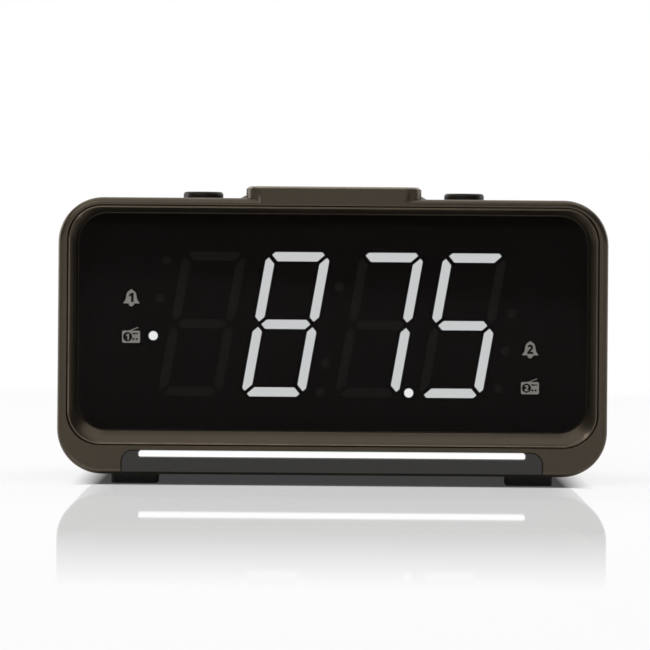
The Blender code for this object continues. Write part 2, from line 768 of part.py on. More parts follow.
def build_snooze_key():
    """A cap over the whole hump, with a plunger through the slot behind the display board."""
    size = (HUMP_WIDTH, HUMP_DEPTH)
    rings = []
    for step in range(EDGE_STEPS + 1):
        angle = (1 - step / EDGE_STEPS) * math.pi / 2
        inset = SNOOZE_ROUND * (1 - math.cos(angle))
        height = SNOOZE_TOP - SNOOZE_ROUND * (1 - math.sin(angle))
        outline = rounded_rect(
            size[0] - 2 * inset, size[1] - 2 * inset, HUMP_RADIUS - inset, (0, HUMP_Y)
        )
        rings.append(facing_up(outline, height))
    cap = rounded_rect(*size, HUMP_RADIUS, (0, HUMP_Y))
    plunger = rounded_rect(*PLUNGER_SIZE, 0.6 * MM, (0, KEY_LINE_Y))
    rings += [facing_up(cap, SNOOZE_BOTTOM), facing_up(plunger, SNOOZE_BOTTOM)]
    rings += [facing_up(plunger, STEM_BOTTOM)]
    bm = bmesh.new()
    add_rings(bm, rings)
    make_part("snooze_key", bm, "bronze_light", (0, KEY_LINE_Y, STEM_BOTTOM))


def build_round_button(name, side):
    """A low round button, held under the ceiling by its flange."""
    x = side * ROUND_BUTTON_X
    top = BODY_TOP + ROUND_BUTTON_PROUD
    rim = 1.0 * MM
    profile = [(0, top)]
    for step in range(EDGE_STEPS + 1):
        angle = (1 - step / EDGE_STEPS) * math.pi / 2
        radius = ROUND_BUTTON_RADIUS - rim * (1 - math.cos(angle))
        profile.append((radius, top - rim * (1 - math.sin(angle))))
    flange_top = CEILING - 0.3 * MM
    profile += [
        (ROUND_BUTTON_RADIUS, flange_top),
        (ROUND_BUTTON_RADIUS + FLANGE, flange_top),
        (ROUND_BUTTON_RADIUS + FLANGE, STEM_BOTTOM),
        (0, STEM_BOTTOM),
    ]
    bm = bmesh.new()
    add_turned(bm, profile, (x, KEY_LINE_Y, 0), (0, 0, 1))
    make_part(name, bm, "dark_gloss", (x, KEY_LINE_Y, STEM_BOTTOM))


def build_key_island():
    """A raised surround with sloped ends that guides the row of small keys."""
    base_size = (ISLAND_WIDTH, ISLAND_DEPTH)
    rings = []
    for inset, height in ((0, BODY_TOP + GAP), (ISLAND_SLOPE, ISLAND_TOP)):
        outline = rounded_rect(
            base_size[0] - 2 * inset, base_size[1] - inset, 1.5 * MM, (0, ISLAND_Y), SMALL_STEPS
        )
        rings.append(facing_up(outline, height))
    seat = rounded_rect(
        base_size[0] - 5.8 * MM, base_size[1] - 4.8 * MM, MM, (0, ISLAND_Y), SMALL_STEPS
    )
    rings = [facing_up(seat, BODY_TOP - 1.4 * MM), facing_up(seat, BODY_TOP + GAP)] + rings
    bm = bmesh.new()
    add_rings(bm, rings)
    island = make_part("key_island", bm, "bronze")

    bm = bmesh.new()
    for place in function_key_places():
        hole = rounded_rect(
            FUNCTION_SIZE[0] + 0.6 * MM, FUNCTION_SIZE[1] + 0.6 * MM, MM, place, SMALL_STEPS
        )
        add_prism(bm, hole, BODY_TOP - 3 * MM, ISLAND_TOP + MM, facing_up)
    combine(island, "key_holes", bm, "DIFFERENCE")


def build_function_key(name, place):
    width, depth = FUNCTION_SIZE
    top = ISLAND_TOP + FUNCTION_PROUD
    bevel = 0.3 * MM
    flange_top = BODY_TOP - 1.7 * MM
    levels = [
        (width - 2 * bevel, depth - 2 * bevel, top),
        (width, depth, top - bevel),
        (width, depth, flange_top),
        (width + 2 * FLANGE, depth + 2 * FLANGE, flange_top),
        (width + 2 * FLANGE, depth + 2 * FLANGE, flange_top - 0.7 * MM),
        (3 * MM, 3 * MM, flange_top - 0.7 * MM),
        (3 * MM, 3 * MM, STEM_BOTTOM),
    ]
    rings = [
        facing_up(rounded_rect(w, d, 0.7 * MM, place, SMALL_STEPS), z) for w, d, z in levels
    ]
    bm = bmesh.new()
    add_rings(bm, rings)
    make_part(name, bm, "bronze_light", (*place, STEM_BOTTOM))


def build_switch(name, place):
    """A square push switch, drawn with its actuator at the bottom of its travel."""
    half = SWITCH_SIZE / 2
    shoulder = SWITCH_BOTTOM + SWITCH_HEIGHT
    x, y = place
    bm = bmesh.new()
    add_box(bm, (x - half, y - half, SWITCH_BOTTOM), (x + half, y + half, shoulder))
    switch = make_part(name, bm, "black_plastic")
    bm = bmesh.new()
    start = shoulder - MM
    add_cylinder(bm, ACTUATOR_RADIUS, start, ACTUATOR_TOP, (*place, 0), (0, 0, 1), SCREW_STEPS)
    combine(switch, "actuator", bm, "UNION")


def build_switch_board():
    bm = bmesh.new()
    low_y = DISPLAY_BOARD_BACK + 0.4 * MM
    high_y = ISLAND_FRONT + ISLAND_DEPTH + 2 * MM
    half = 55.0 * MM
    low = (-half, low_y, SWITCH_BOARD_Z)
    high = (half, high_y, SWITCH_BOARD_Z + BOARD_THICKNESS)
    add_box(bm, low, high)
    board = make_part("switch_board", bm, "board_green")
    bm = bmesh.new()
    for x, y in switch_post_places():
        start = SWITCH_BOARD_Z - MM
        add_cylinder(bm, PILOT_RADIUS, start, BODY_TOP, (x, y, 0), (0, 0, 1), SCREW_STEPS)
    combine(board, "screw_holes", bm, "DIFFERENCE")


# Screws


def build_screw(name, place, axis, length):
    """A pan-head screw whose head rests at place, with its shank against the axis."""
    crown = SCREW_HEAD * 0.25
    profile = [
        (0, SCREW_HEAD),
        (SCREW_HEAD_RADIUS - crown, SCREW_HEAD),
        (SCREW_HEAD_RADIUS, SCREW_HEAD - crown),
        (SCREW_HEAD_RADIUS, 0),
        (SCREW_RADIUS, 0),
        (SCREW_RADIUS, -length),
        (0, -length - SCREW_RADIUS),
    ]
    bm = bmesh.new()
    add_turned(bm, profile, place, axis, SCREW_STEPS)
    make_part(name, bm, "steel")


def build_screws():
    for index, (x, z) in enumerate(corner_bosses()):
        place = (x, REAR - SCREW_HEAD - 0.05 * MM, z)
        build_screw(f"cover_screw_{index + 1}", place, (0, 1, 0), SCREW_LENGTH)
    for index, (x, z) in enumerate(display_screw_places()):
        place = (x, DISPLAY_BOARD_BACK + GAP, z)
        build_screw(f"display_screw_{index + 1}", place, (0, 1, 0), SMALL_SCREW_LENGTH)


# Speaker


def build_speaker():
    back = SEAM + COVER_RECESS - GAP
    centre = (SPEAKER_X, back, SPEAKER_Z)
    axis = (0, -1, 0)
    bm = bmesh.new()
    inner = SPEAKER_RADIUS - 2.2 * MM
    outer = SPEAKER_RADIUS
    add_turned(bm, [(inner, 0), (outer, 0), (outer, MM), (inner, MM)], centre, axis)
    make_part("speaker_gasket", bm, "rubber")

    rim = 1.0 * MM + GAP
    magnet_top = rim + SPEAKER_DEPTH
    bm = bmesh.new()
    frame = [
        (inner, rim),
        (outer, rim),
        (outer, rim + MM),
        (inner + 0.6 * MM, rim + MM),
        (12.0 * MM, rim + 9 * MM),
        (5.0 * MM, rim + 9 * MM),
        (5.0 * MM, rim + 8 * MM),
        (11.4 * MM, rim + 8 * MM),
        (inner, rim + 0.8 * MM),
    ]
    add_turned(bm, frame, centre, axis)
    make_part("speaker_frame", bm, "steel")

    bm = bmesh.new()
    cone = [
        (0, rim + 3.4 * MM),
        (5.0 * MM, rim + 5.2 * MM),
        (inner - 3.0 * MM, rim + 0.2 * MM),
        (inner - 0.6 * MM, rim + 0.2 * MM),
        (inner - 0.6 * MM, rim + 0.7 * MM),
        (inner - 2.7 * MM, rim + 0.7 * MM),
        (5.0 * MM, rim + 6.2 * MM),
        (0, rim + 6.2 * MM),
    ]
    add_turned(bm, cone, centre, axis)
    make_part("speaker_cone", bm, "paper")

    bm = bmesh.new()
    add_cylinder(bm, 13.0 * MM, rim + 9 * MM + GAP, magnet_top, centre, axis)
    make_part("speaker_magnet", bm, "ferrite")


# Boards and sockets


def build_main_board():
    bm = bmesh.new()
    low = (MAIN_BOARD_X[0], MAIN_BOARD_Y[0], MAIN_BOARD_Z)
    high = (MAIN_BOARD_X[1], MAIN_BOARD_Y[1], MAIN_BOARD_Z + BOARD_THICKNESS)
    add_box(bm, low, high)
    make_part("main_board", bm, "board_green")


def build_board_parts():
    surface = MAIN_BOARD_Z + BOARD_THICKNESS + GAP
    bm = bmesh.new()
    add_box(bm, (34 * MM, 2 * MM, surface), (50 * MM, 18 * MM, surface + 5 * MM))
    make_part("tuner_shield", bm, "steel")

    bm = bmesh.new()
    add_box(bm, (52 * MM, -4 * MM, surface), (62 * MM, 6 * MM, surface + 1.6 * MM))
    make_part("processor_chip", bm, "black_plastic")

    for index, x in enumerate((36 * MM, 46 * MM)):
        bm = bmesh.new()
        rim = 0.5 * MM
        top = surface + 11 * MM
        profile = [(0, surface), (4 * MM - rim, surface), (4 * MM, surface + rim)]
        profile += [(4 * MM, top - rim), (4 * MM - rim, top), (0, top)]
        add_turned(bm, profile, (x, -6 * MM, 0), (0, 0, 1), 16)
        make_part(f"filter_capacitor_{index + 1}", bm, "dark_gloss")


def build_dc_jack():
    """The power inlet: a square shell that fills its window, with a round bore and a pin."""
    width, depth, height = JACK_SIZE
    bm = bmesh.new()
    back = REAR - 0.4 * MM
    add_box(
        bm,
        (JACK_X - width / 2, SEAM - depth, JACK_Z - height / 2),
        (JACK_X + width / 2, SEAM - MM, JACK_Z + height / 2),
    )
    jack = make_part("dc_jack", bm, "black_plastic")

    bm = bmesh.new()
    nose = width / 2
    add_box(
        bm,
        (JACK_X - nose, SEAM - 2 * MM, JACK_Z - nose),
        (JACK_X + nose, back, JACK_Z + nose),
    )
    combine(jack, "nose", bm, "UNION")

    bm = bmesh.new()
    bottom = SEAM - 8 * MM
    well_around_pin = [
        (0, REAR + MM),
        (JACK_BORE, REAR + MM),
        (JACK_BORE, bottom),
        (JACK_PIN, bottom),
        (JACK_PIN, back - MM),
        (0, back - MM),
    ]
    add_turned(bm, well_around_pin, (JACK_X, 0, JACK_Z), (0, 1, 0), 16)
    combine(jack, "bore", bm, "DIFFERENCE")


def build_antenna_gland():
    """The rubber bush that the aerial wire comes out of; the wire itself isn't fitted."""
    inside = SEAM + COVER_RECESS - GAP
    flange = GLAND_RADIUS + 1.2 * MM
    bm = bmesh.new()
    profile = [
        (GLAND_BORE, inside - MM),
        (flange, inside - MM),
        (flange, inside),
        (GLAND_RADIUS, inside),
        (GLAND_RADIUS, REAR - 0.2 * MM),
        (GLAND_BORE, REAR - 0.2 * MM),
    ]
    add_turned(bm, profile, (GLAND_X, 0, GLAND_Z), (0, 1, 0), 16)
    make_part("antenna_gland", bm, "rubber")


def build_display_ribbon():
    """A flat cable from the back of the display board to the front edge of the main board."""
    thickness = 0.5 * MM
    start_y = DISPLAY_BOARD_BACK + GAP
    start_z = 30 * MM
    end_y = MAIN_BOARD_Y[0] + 5 * MM
    end_z = MAIN_BOARD_Z + BOARD_THICKNESS + GAP
    turn_y = start_y + 2 * MM
    turn_z = end_z + 3 * MM
    route = [(start_y, start_z), (turn_y, start_z), (turn_y, turn_z), (end_y, end_z)]
    upper = [
        (start_y, start_z + thickness),
        (turn_y + thickness, start_z + thickness),
        (turn_y + thickness, turn_z + thickness / 2),
        (end_y, end_z + thickness),
    ]
    outline = route + list(reversed(upper))
    bm = bmesh.new()
    near = [Vector((52 * MM, y, z)) for y, z in outline]
    far = [Vector((66 * MM, y, z)) for y, z in outline]
    add_rings(bm, [near, far])
    make_part("display_ribbon", bm, "ribbon")


# Backup battery


def build_battery_tray():
    bm = bmesh.new()
    half = TRAY_WIDTH / 2
    low = (-half, TRAY_Y - TRAY_DEPTH / 2, TRAY_BOTTOM)
    high = (half, TRAY_Y + TRAY_DEPTH / 2, TRAY_BOTTOM + TRAY_HEIGHT)
    add_box(bm, low, high)
    tray = make_part("battery_tray", bm, "black_plastic")
    bm = bmesh.new()
    add_box(
        bm,
        (low[0] + TRAY_WALL, low[1] + TRAY_WALL, TRAY_BOTTOM - MM),
        (high[0] - TRAY_WALL, high[1] - TRAY_WALL, high[2] - TRAY_WALL),
    )
    combine(tray, "cavity", bm, "DIFFERENCE")


def build_cell(name, side):
    """One AAA-size cell lying across the radio, with its raised end turned about with side."""
    rim = 0.4 * MM
    half = CELL_LENGTH / 2
    profile = [
        (0, -half),
        (CELL_RADIUS - rim, -half),
        (CELL_RADIUS, rim - half),
        (CELL_RADIUS, half - MM - rim),
        (CELL_RADIUS - rim, half - MM),
        (1.9 * MM, half - MM),
        (1.9 * MM, half),
        (0, half),
    ]
    centre = (0, TRAY_Y + side * CELL_PITCH / 2, CELL_Z)
    bm = bmesh.new()
    add_turned(bm, profile, centre, (side, 0, 0), 16)
    make_part(name, bm, "cell")


def build_contacts():
    """One plate joins the cells at the left; at the right each cell has its own."""
    outer = TRAY_WIDTH / 2 - TRAY_WALL - 0.3 * MM
    inner = CELL_LENGTH / 2 + 0.4 * MM
    low = TRAY_BOTTOM + 1.6 * MM
    high = TRAY_BOTTOM + TRAY_HEIGHT - TRAY_WALL - 1.0 * MM
    reach = CELL_PITCH / 2 + 3.6 * MM
    spans = {
        "contact_bridge": (-outer, -inner - 0.9 * MM, -reach, reach),
        "contact_positive": (inner + 0.9 * MM, outer, 0.8 * MM, reach),
        "contact_negative": (inner + 0.9 * MM, outer, -reach, -0.8 * MM),
    }
    for name, (x0, x1, y0, y1) in spans.items():
        bm = bmesh.new()
        add_box(bm, (x0, TRAY_Y + y0, low), (x1, TRAY_Y + y1, high))
        make_part(name, bm, "steel")


def build_battery_door():
    """A flush door whose side rails run in the floor's track, out through the rear edge."""
    half = DOOR_WIDTH / 2
    wide = half + DOOR_RAIL_REACH - 0.1 * MM
    back = REAR - 0.3 * MM
    shoulder = BODY_BOTTOM + DOOR_SKIN + 0.4 * MM
    top = shoulder + DOOR_RAIL
    outline = [
        (-half, BODY_BOTTOM),
        (half, BODY_BOTTOM),
        (half, shoulder),
        (wide, shoulder),
        (wide, top),
        (-wide, top),
        (-wide, shoulder),
        (-half, shoulder),
    ]
    bm = bmesh.new()
    add_prism(bm, outline, DOOR_FRONT, back, facing_front)
    door = make_part("battery_door", bm, "bronze", (0, DOOR_FRONT, BODY_BOTTOM))
    bm = bmesh.new()
    for i in range(3):
        y = back - (3.0 + 2.2 * i) * MM
        add_box(
            bm,
            (-8 * MM, y - 0.5 * MM, BODY_BOTTOM - MM),
            (8 * MM, y + 0.5 * MM, BODY_BOTTOM + 0.5 * MM),
        )
    combine(door, "grip_grooves", bm, "DIFFERENCE")


# Feet


def build_foot(name, place):
    edge = 0.4 * MM
    levels = [(edge, 0.0), (0.0, edge), (0.0, BODY_BOTTOM + FOOT_POCKET - GAP)]
    rings = [
        facing_up(
            rounded_rect(
                FOOT_SIZE[0] - 2 * inset,
                FOOT_SIZE[1] - 2 * inset,
                FOOT_RADIUS,
                place,
                SMALL_STEPS,
            ),
            z,
        )
        for inset, z in levels
    ]
    bm = bmesh.new()
    add_rings(bm, rings)
    make_part(name, bm, "rubber")


def build_radio():
    clear_scene()
    build_housing()
    build_front_bezel()
    build_rear_cover()
    build_window_lens()
    build_display_diffuser()
    build_display_reflector()
    build_display_board()
    build_nightlight_panel()
    build_nightlight_bar()
    build_nightlight_board()
    build_snooze_key()
    build_round_button("round_button_left", -1)
    build_round_button("round_button_right", 1)
    build_key_island()
    for index, place in enumerate(function_key_places()):
        build_function_key(f"function_key_{index + 1}", place)
        build_switch(f"function_switch_{index + 1}", place)
    build_switch("snooze_switch", (0, KEY_LINE_Y))
    build_switch("round_switch_left", (-ROUND_BUTTON_X, KEY_LINE_Y))
    build_switch("round_switch_right", (ROUND_BUTTON_X, KEY_LINE_Y))
    build_switch_board()
    build_screws()
    build_speaker()
    build_main_board()
    build_board_parts()
    build_dc_jack()
    build_antenna_gland()
    build_display_ribbon()
    build_battery_tray()
    build_cell("backup_cell_1", -1)
    build_cell("backup_cell_2", 1)
    build_contacts()
    build_battery_door()
    for index, place in enumerate(foot_places()):
        build_foot(f"foot_{index + 1}", place)


build_radio()
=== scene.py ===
"""The looks of the bedside clock radio: smooth shells, a lit segment display and moulded finishes.

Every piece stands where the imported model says; lengths are metres, the front faces -Y.
"""

import json
import math

import bmesh
import bpy
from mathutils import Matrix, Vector


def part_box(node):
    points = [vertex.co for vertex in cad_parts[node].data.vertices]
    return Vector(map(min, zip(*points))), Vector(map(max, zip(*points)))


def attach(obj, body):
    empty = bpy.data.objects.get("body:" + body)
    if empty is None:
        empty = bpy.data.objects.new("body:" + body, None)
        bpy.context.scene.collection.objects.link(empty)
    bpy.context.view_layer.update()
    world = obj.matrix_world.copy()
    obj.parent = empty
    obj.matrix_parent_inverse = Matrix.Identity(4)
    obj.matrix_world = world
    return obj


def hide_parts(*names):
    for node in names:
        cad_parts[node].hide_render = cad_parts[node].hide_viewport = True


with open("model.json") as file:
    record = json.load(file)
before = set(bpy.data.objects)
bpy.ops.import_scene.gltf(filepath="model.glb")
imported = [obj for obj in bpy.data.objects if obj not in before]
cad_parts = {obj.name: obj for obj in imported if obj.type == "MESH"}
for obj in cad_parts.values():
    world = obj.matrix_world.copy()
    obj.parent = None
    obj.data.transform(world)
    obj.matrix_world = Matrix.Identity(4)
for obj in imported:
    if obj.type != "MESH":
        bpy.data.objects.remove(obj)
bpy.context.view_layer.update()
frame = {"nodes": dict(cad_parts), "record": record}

MM = 0.001


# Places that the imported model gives


def node_box(node):
    low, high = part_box(node)
    return Vector(low), Vector(high)


def node_middle(node):
    low, high = node_box(node)
    return (low + high) / 2


COVER_HIGH = node_box("rear_cover")[1]
HOUSING_LOW, HOUSING_HIGH = node_box("housing")
BEZEL_LOW, BEZEL_HIGH = node_box("front_bezel")
LENS_LOW, LENS_HIGH = node_box("window_lens")
DIFFUSER_LOW, DIFFUSER_HIGH = node_box("display_diffuser")
PANEL_LOW, PANEL_HIGH = node_box("nightlight_panel")
BAR_LOW, BAR_HIGH = node_box("nightlight_bar")
SNOOZE_LOW, SNOOZE_HIGH = node_box("snooze_key")
ISLAND_LOW, ISLAND_HIGH = node_box("key_island")
DOOR_LOW, DOOR_HIGH = node_box("battery_door")

FRONT = HOUSING_LOW.y
SEAM_FRONT = HOUSING_HIGH.y
REAR = COVER_HIGH.y
BODY_BOTTOM = HOUSING_LOW.z
BODY_TOP = COVER_HIGH.z
BODY_MID = (BODY_BOTTOM + BODY_TOP) / 2
BODY_WIDTH = HOUSING_HIGH.x - HOUSING_LOW.x
BODY_HEIGHT = BODY_TOP - BODY_BOTTOM
HUMP_TOP = HOUSING_HIGH.z

# Shells
BODY_RADIUS = 14.0 * MM
SAME_POINT = 2e-6
EDGE_ROUND = 1.8 * MM
WALL = 2.2 * MM
FRONT_WALL = 3.0 * MM
GAP = 0.35 * MM
SEAM = SEAM_FRONT + GAP
LIP_DEPTH = 3.0 * MM
LIP_WALL = 1.5 * MM
COVER_RECESS = 0.6 * MM
FINE_EDGE = 0.2 * MM
SOFT_EDGE = 0.15 * MM
SOFT_ANGLE = math.radians(50.0)
SMOOTH_ANGLE = math.radians(35.0)
PLAY = 0.3 * MM

# Front bezel and window
BEZEL_RADIUS = 10.6 * MM
OPENING_ROUND = 0.45 * MM
BEZEL_GAP = 0.15 * MM
BEZEL_PROUD = 0.2 * MM
BEZEL_ROUND = 0.5 * MM
BEZEL_FLANGE = 0.2 * MM
SLOPE_STEPS = 8
LIP_FLAT = 0.6 * MM
LENS_RADIUS = 9.0 * MM
LENS_LEDGE = 3.4 * MM
BEZEL_DEPTH = 7.5 * MM
PRINT_BORDER = 0.02 * MM
SLOPE_BULGE = 0.2 * MM

# Top keys
HUMP_RADIUS = 5.3 * MM
HUMP_RIM_RISE = 0.6 * MM
HUMP_RIM = 0.38 * MM
HUMP_ROUND = 0.15 * MM
CAP_INSET = 0.5 * MM
CAP_CROWN = (1.4 * MM, 0.6 * MM)
CAP_CHAMFER = 0.15 * MM
PLUNGER_SIZE = (45.0 * MM, 4.2 * MM)
KEY_LINE_Y = FRONT + 19.3 * MM
BUTTON_RADIUS = 6.3 * MM
BUTTON_ROUND = 1.0 * MM
FLANGE = 0.9 * MM
FUNCTION_KEYS = 5
FUNCTION_SIZE = (8.0 * MM, 6.0 * MM)
ISLAND_SLOPE = 2.0 * MM
ISLAND_FOOT = 0.05 * MM
KEY_SYMBOL = 2.8 * MM

# Night light
PANEL_RADIUS = 3.4 * MM
BAR_RADIUS = 0.5 * MM
BAR_GAP = 0.25 * MM

# Rear cover
SCREW_REACH = 7.4 * MM
SCREW_HEAD_RADIUS = 2.5 * MM
SHANK_RADIUS = 1.3 * MM
CROSS_SIZE = (2.6 * MM, 0.55 * MM)
PILOT_RADIUS = 1.65 * MM
BOSS_RADIUS = 4.8 * MM
BOSS_LENGTH = 18.0 * MM
GRILLE_RADIUS = 22.0 * MM
GRILLE_SLOT = 1.8 * MM
GRILLE_END = GRILLE_SLOT / 2.01  # under half, or the two arcs of an end would share a point
GRILLE_PITCH = 4.0 * MM
JACK_BORE = 3.2 * MM
JACK_PIN = 1.0 * MM
GLAND_RADIUS = 2.8 * MM
GLAND_BORE = 1.0 * MM

# Underside
DOOR_SKIN = 1.0 * MM
DOOR_RAIL = 0.8 * MM
DOOR_RAIL_REACH = 1.0 * MM
FOOT_RADIUS = 1.5 * MM

# Display: half sizes and places of an upright digit, then its bars' mitres
DIGIT_HALF_WIDTH = 9.95 * MM
DIGIT_HALF_HEIGHT = 22.57 * MM
DIGIT_SLANT = math.radians(9.9)
DIGIT_PITCH = 26.07 * MM
COLON_SPACE = 3.1 * MM
COLON_REACH = 11.8 * MM
DIGIT_CENTRE_X = -0.1 * MM
DIGIT_CENTRE_Z = BODY_TOP - 39.25 * MM
STROKE = 2.9 * MM
TIP_INSET = 0.9 * MM
CORNER_SPACE = 1.75 * MM
MIDDLE_SPACE = 0.85 * MM
POINT_RADIUS = 1.42 * MM
DOT_PITCH = 11.7 * MM
DOT_START = 19.55 * MM
DOT_OUTSET = 14.6 * MM
LIGHTS_PROUD = 0.12 * MM
INK = 0.03 * MM

# Printed pictograms: the alarm's number, their middle X, and the rises of the bell and the
# radio above the digits' middle, in mm
ICON_PLACES = (
    (1, -62.8, 8.0, -4.15),
    (2, 61.5, -7.2, -19.2),
)
BELL_SIZE = 5.4 * MM
BELL_NUMERAL = 2.9 * MM
RADIO_SIZE = 5.0 * MM
DISC_NUMERAL = 1.85 * MM
DISC_PLACE = -1.08 * MM

# Roundness of the fine meshes
CORNER_STEPS = 20
EDGE_STEPS = 7
TURN_STEPS = 72
HOLE_STEPS = 48

BACKWARDS = (0, 1, 0)


# Outlines, as counter-clockwise (u, v) points


def arc(centre, radius, start, end, steps):
    """Points of an arc between two angles in degrees."""
    points = []
    for step in range(steps + 1):
        angle = math.radians(start + (end - start) * step / steps)
        points.append((centre[0] + radius * math.cos(angle), centre[1] + radius * math.sin(angle)))
    return points


def rounded_rect(width, height, radius, centre=(0.0, 0.0), steps=CORNER_STEPS):
    points = []
    for corner in range(4):
        side_u = (width / 2 - radius) * (1 if corner in (0, 3) else -1)
        side_v = (height / 2 - radius) * (1 if corner in (0, 1) else -1)
        middle = (centre[0] + side_u, centre[1] + side_v)
        points += arc(middle, radius, 90 * corner, 90 * corner + 90, steps)
    return points


def circle(radius, centre=(0.0, 0.0), steps=TURN_STEPS):
    return arc(centre, radius, 0, 360, steps)[:-1]


def box_outline(corners, radius, grow=0.0, steps=CORNER_STEPS):
    """A rounded outline around two corners of (u, v), grown by some distance."""
    low, high = corners
    centre = ((low[0] + high[0]) / 2, (low[1] + high[1]) / 2)
    width = high[0] - low[0] + 2 * grow
    height = high[1] - low[1] + 2 * grow
    return rounded_rect(width, height, radius + grow, centre, steps)


def front_corners(low, high):
    return (low.x, low.z), (high.x, high.z)


def top_corners(low, high):
    return (low.x, low.y), (high.x, high.y)


def moved(outline, place):
    return [(u + place[0], v + place[1]) for u, v in outline]


def upright(outline, y):
    """An outline's points in a plane that faces the front."""
    return [Vector((u, y, v)) for u, v in outline]


def flat(outline, z):
    """An outline's points in a level plane."""
    return [Vector((u, v, z)) for u, v in outline]


def round_steps(radius, steps=EDGE_STEPS):
    """Inset and drop pairs down a quarter-round edge, from its flat face to its side."""
    pairs = []
    for step in range(steps + 1):
        angle = step * math.pi / 2 / steps
        pairs.append((radius * (1 - math.sin(angle)), radius * (1 - math.cos(angle))))
    return pairs


# Closed shells, added to a mesh under construction


def add_rings(bm, rings, closed=False):
    """Joins rings of equal point count, and caps the ends unless the rings close on themselves."""
    rows = [[bm.verts.new(point) for point in ring] for ring in rings]
    pairs = list(zip(rows, rows[1:]))
    if closed:
        pairs.append((rows[-1], rows[0]))
    for near, far in pairs:
        count = len(near)
        for i in range(count):
            j = (i + 1) % count
            bm.faces.new((near[i], near[j], far[j], far[i]))
    if not closed:
        bm.faces.new(rows[0])
        bm.faces.new(list(reversed(rows[-1])))


def add_prism(bm, outline, start, end, place):
    add_rings(bm, [place(outline, start), place(outline, end)])


def add_box(bm, low, high):
    outline = [(low[0], low[1]), (high[0], low[1]), (high[0], high[1]), (low[0], high[1])]
    add_prism(bm, outline, low[2], high[2], flat)


def add_turned(bm, profile, centre, axis, steps=TURN_STEPS):
    """Turns (radius, height) points about an axis; a radius of zero is a point on the axis."""
    turn = Vector((0, 0, 1)).rotation_difference(Vector(axis)).to_matrix()
    centre = Vector(centre)
    rows = []
    for radius, height in profile:
        ring = circle(radius, steps=steps) if radius else [(0.0, 0.0)]
        rows.append([bm.verts.new(centre + turn @ Vector((u, v, height))) for u, v in ring])
    pairs = list(zip(rows, rows[1:]))
    if profile[0][0]:
        pairs.append((rows[-1], rows[0]))
    for near, far in pairs:
        for i in range(steps):
            j = (i + 1) % steps
            if len(near) == 1:
                bm.faces.new((near[0], far[j], far[i]))
            elif len(far) == 1:
                bm.faces.new((near[i], near[j], far[0]))
            else:
                bm.faces.new((near[i], near[j], far[j], far[i]))


# Materials

MIX_FIRST, MIX_SECOND, MIX_RESULT = 6, 7, 2  # a Mix node's colour sockets
# How much lighter an edge turns: rubbed wear, and at full amount a painted highlight
EDGE_WEAR_AND_HIGHLIGHT = 2.6


class Nodes:
    """A material's node tree, with short ways to add and join nodes."""

    def __init__(self, name, bare=False):
        self.material = bpy.data.materials.new(name)
        self.material.use_nodes = True
        self.tree = self.material.node_tree
        self.shader = self.tree.nodes["Principled BSDF"]
        self.output = self.tree.nodes["Material Output"]
        self.place = self.add("ShaderNodeTexCoord").outputs["Object"]
        if bare:
            self.tree.nodes.remove(self.shader)

    def add(self, kind, levels=None, **settings):
        node = self.tree.nodes.new(kind)
        for key, value in settings.items():
            setattr(node, key, value)
        for key, value in (levels or {}).items():
            node.inputs[key].default_value = value
        return node

    def join(self, start, end):
        self.tree.links.new(start, end)

    def feed(self, name, source):
        self.join(source, self.shader.inputs[name])

    def set(self, levels):
        """Sets plain values on the shader's own sockets."""
        for name, value in levels.items():
            self.shader.inputs[name].default_value = value

    def noise(self, scale, detail=3.0, stretch=None):
        node = self.add("ShaderNodeTexNoise", {"Scale": scale, "Detail": detail})
        source = self.place
        if stretch:
            mapping = self.add("ShaderNodeMapping", {"Scale": stretch})
            self.join(source, mapping.inputs["Vector"])
            source = mapping.outputs[0]
        self.join(source, node.inputs["Vector"])
        return node.outputs["Fac"]

    def spread(self, source, low, high, start=0.3, end=0.7):
        """Maps values between start and end, as most of a noise is, to low and high."""
        limits = {"From Min": start, "From Max": end, "To Min": low, "To Max": high}
        node = self.add("ShaderNodeMapRange", limits)
        self.join(source, node.inputs["Value"])
        return node.outputs["Result"]

    def math(self, operation, first, second):
        node = self.add("ShaderNodeMath", operation=operation)
        self.join(first, node.inputs[0])
        if isinstance(second, float):
            node.inputs[1].default_value = second
        else:
            self.join(second, node.inputs[1])
        return node.outputs[0]

    def blend(self, source, first, second):
        """Mixes a plain colour, or a node's colour, towards a plain one."""
        node = self.add("ShaderNodeMix", {MIX_SECOND: (*second, 1.0)}, data_type="RGBA")
        if isinstance(first, tuple):
            node.inputs[MIX_FIRST].default_value = (*first, 1.0)
        else:
            self.join(first, node.inputs[MIX_FIRST])
        self.join(source, node.inputs[0])
        return node.outputs[MIX_RESULT]

    def mix_shaders(self, share, first, second):
        node = self.add("ShaderNodeMixShader")
        self.join(share, node.inputs[0])
        self.join(first.outputs[0], node.inputs[1])
        self.join(second.outputs[0], node.inputs[2])
        return node

    def bump(self, height, strength, distance):
        node = self.add("ShaderNodeBump", {"Strength": strength, "Distance": distance})
        self.join(height, node.inputs["Height"])
        self.feed("Normal", node.outputs["Normal"])

    def worn_and_highlit_edges(self, base, lighter_colour, amount):
        """Makes a colour lighter, unevenly, where the surface turns over an edge: rubbed wear, and a
        painted highlight where the amount is high.
        """
        geometry = self.add("ShaderNodeNewGeometry")
        edge = self.spread(geometry.outputs["Pointiness"], 0.0, amount, 0.51, 0.58)
        uneven = self.spread(self.noise(180.0), 0.55, 1.0)
        return self.blend(self.math("MULTIPLY", edge, uneven), base, lighter_colour)


def toned(colour, factor):
    return tuple(min(1.0, factor * c) for c in colour)


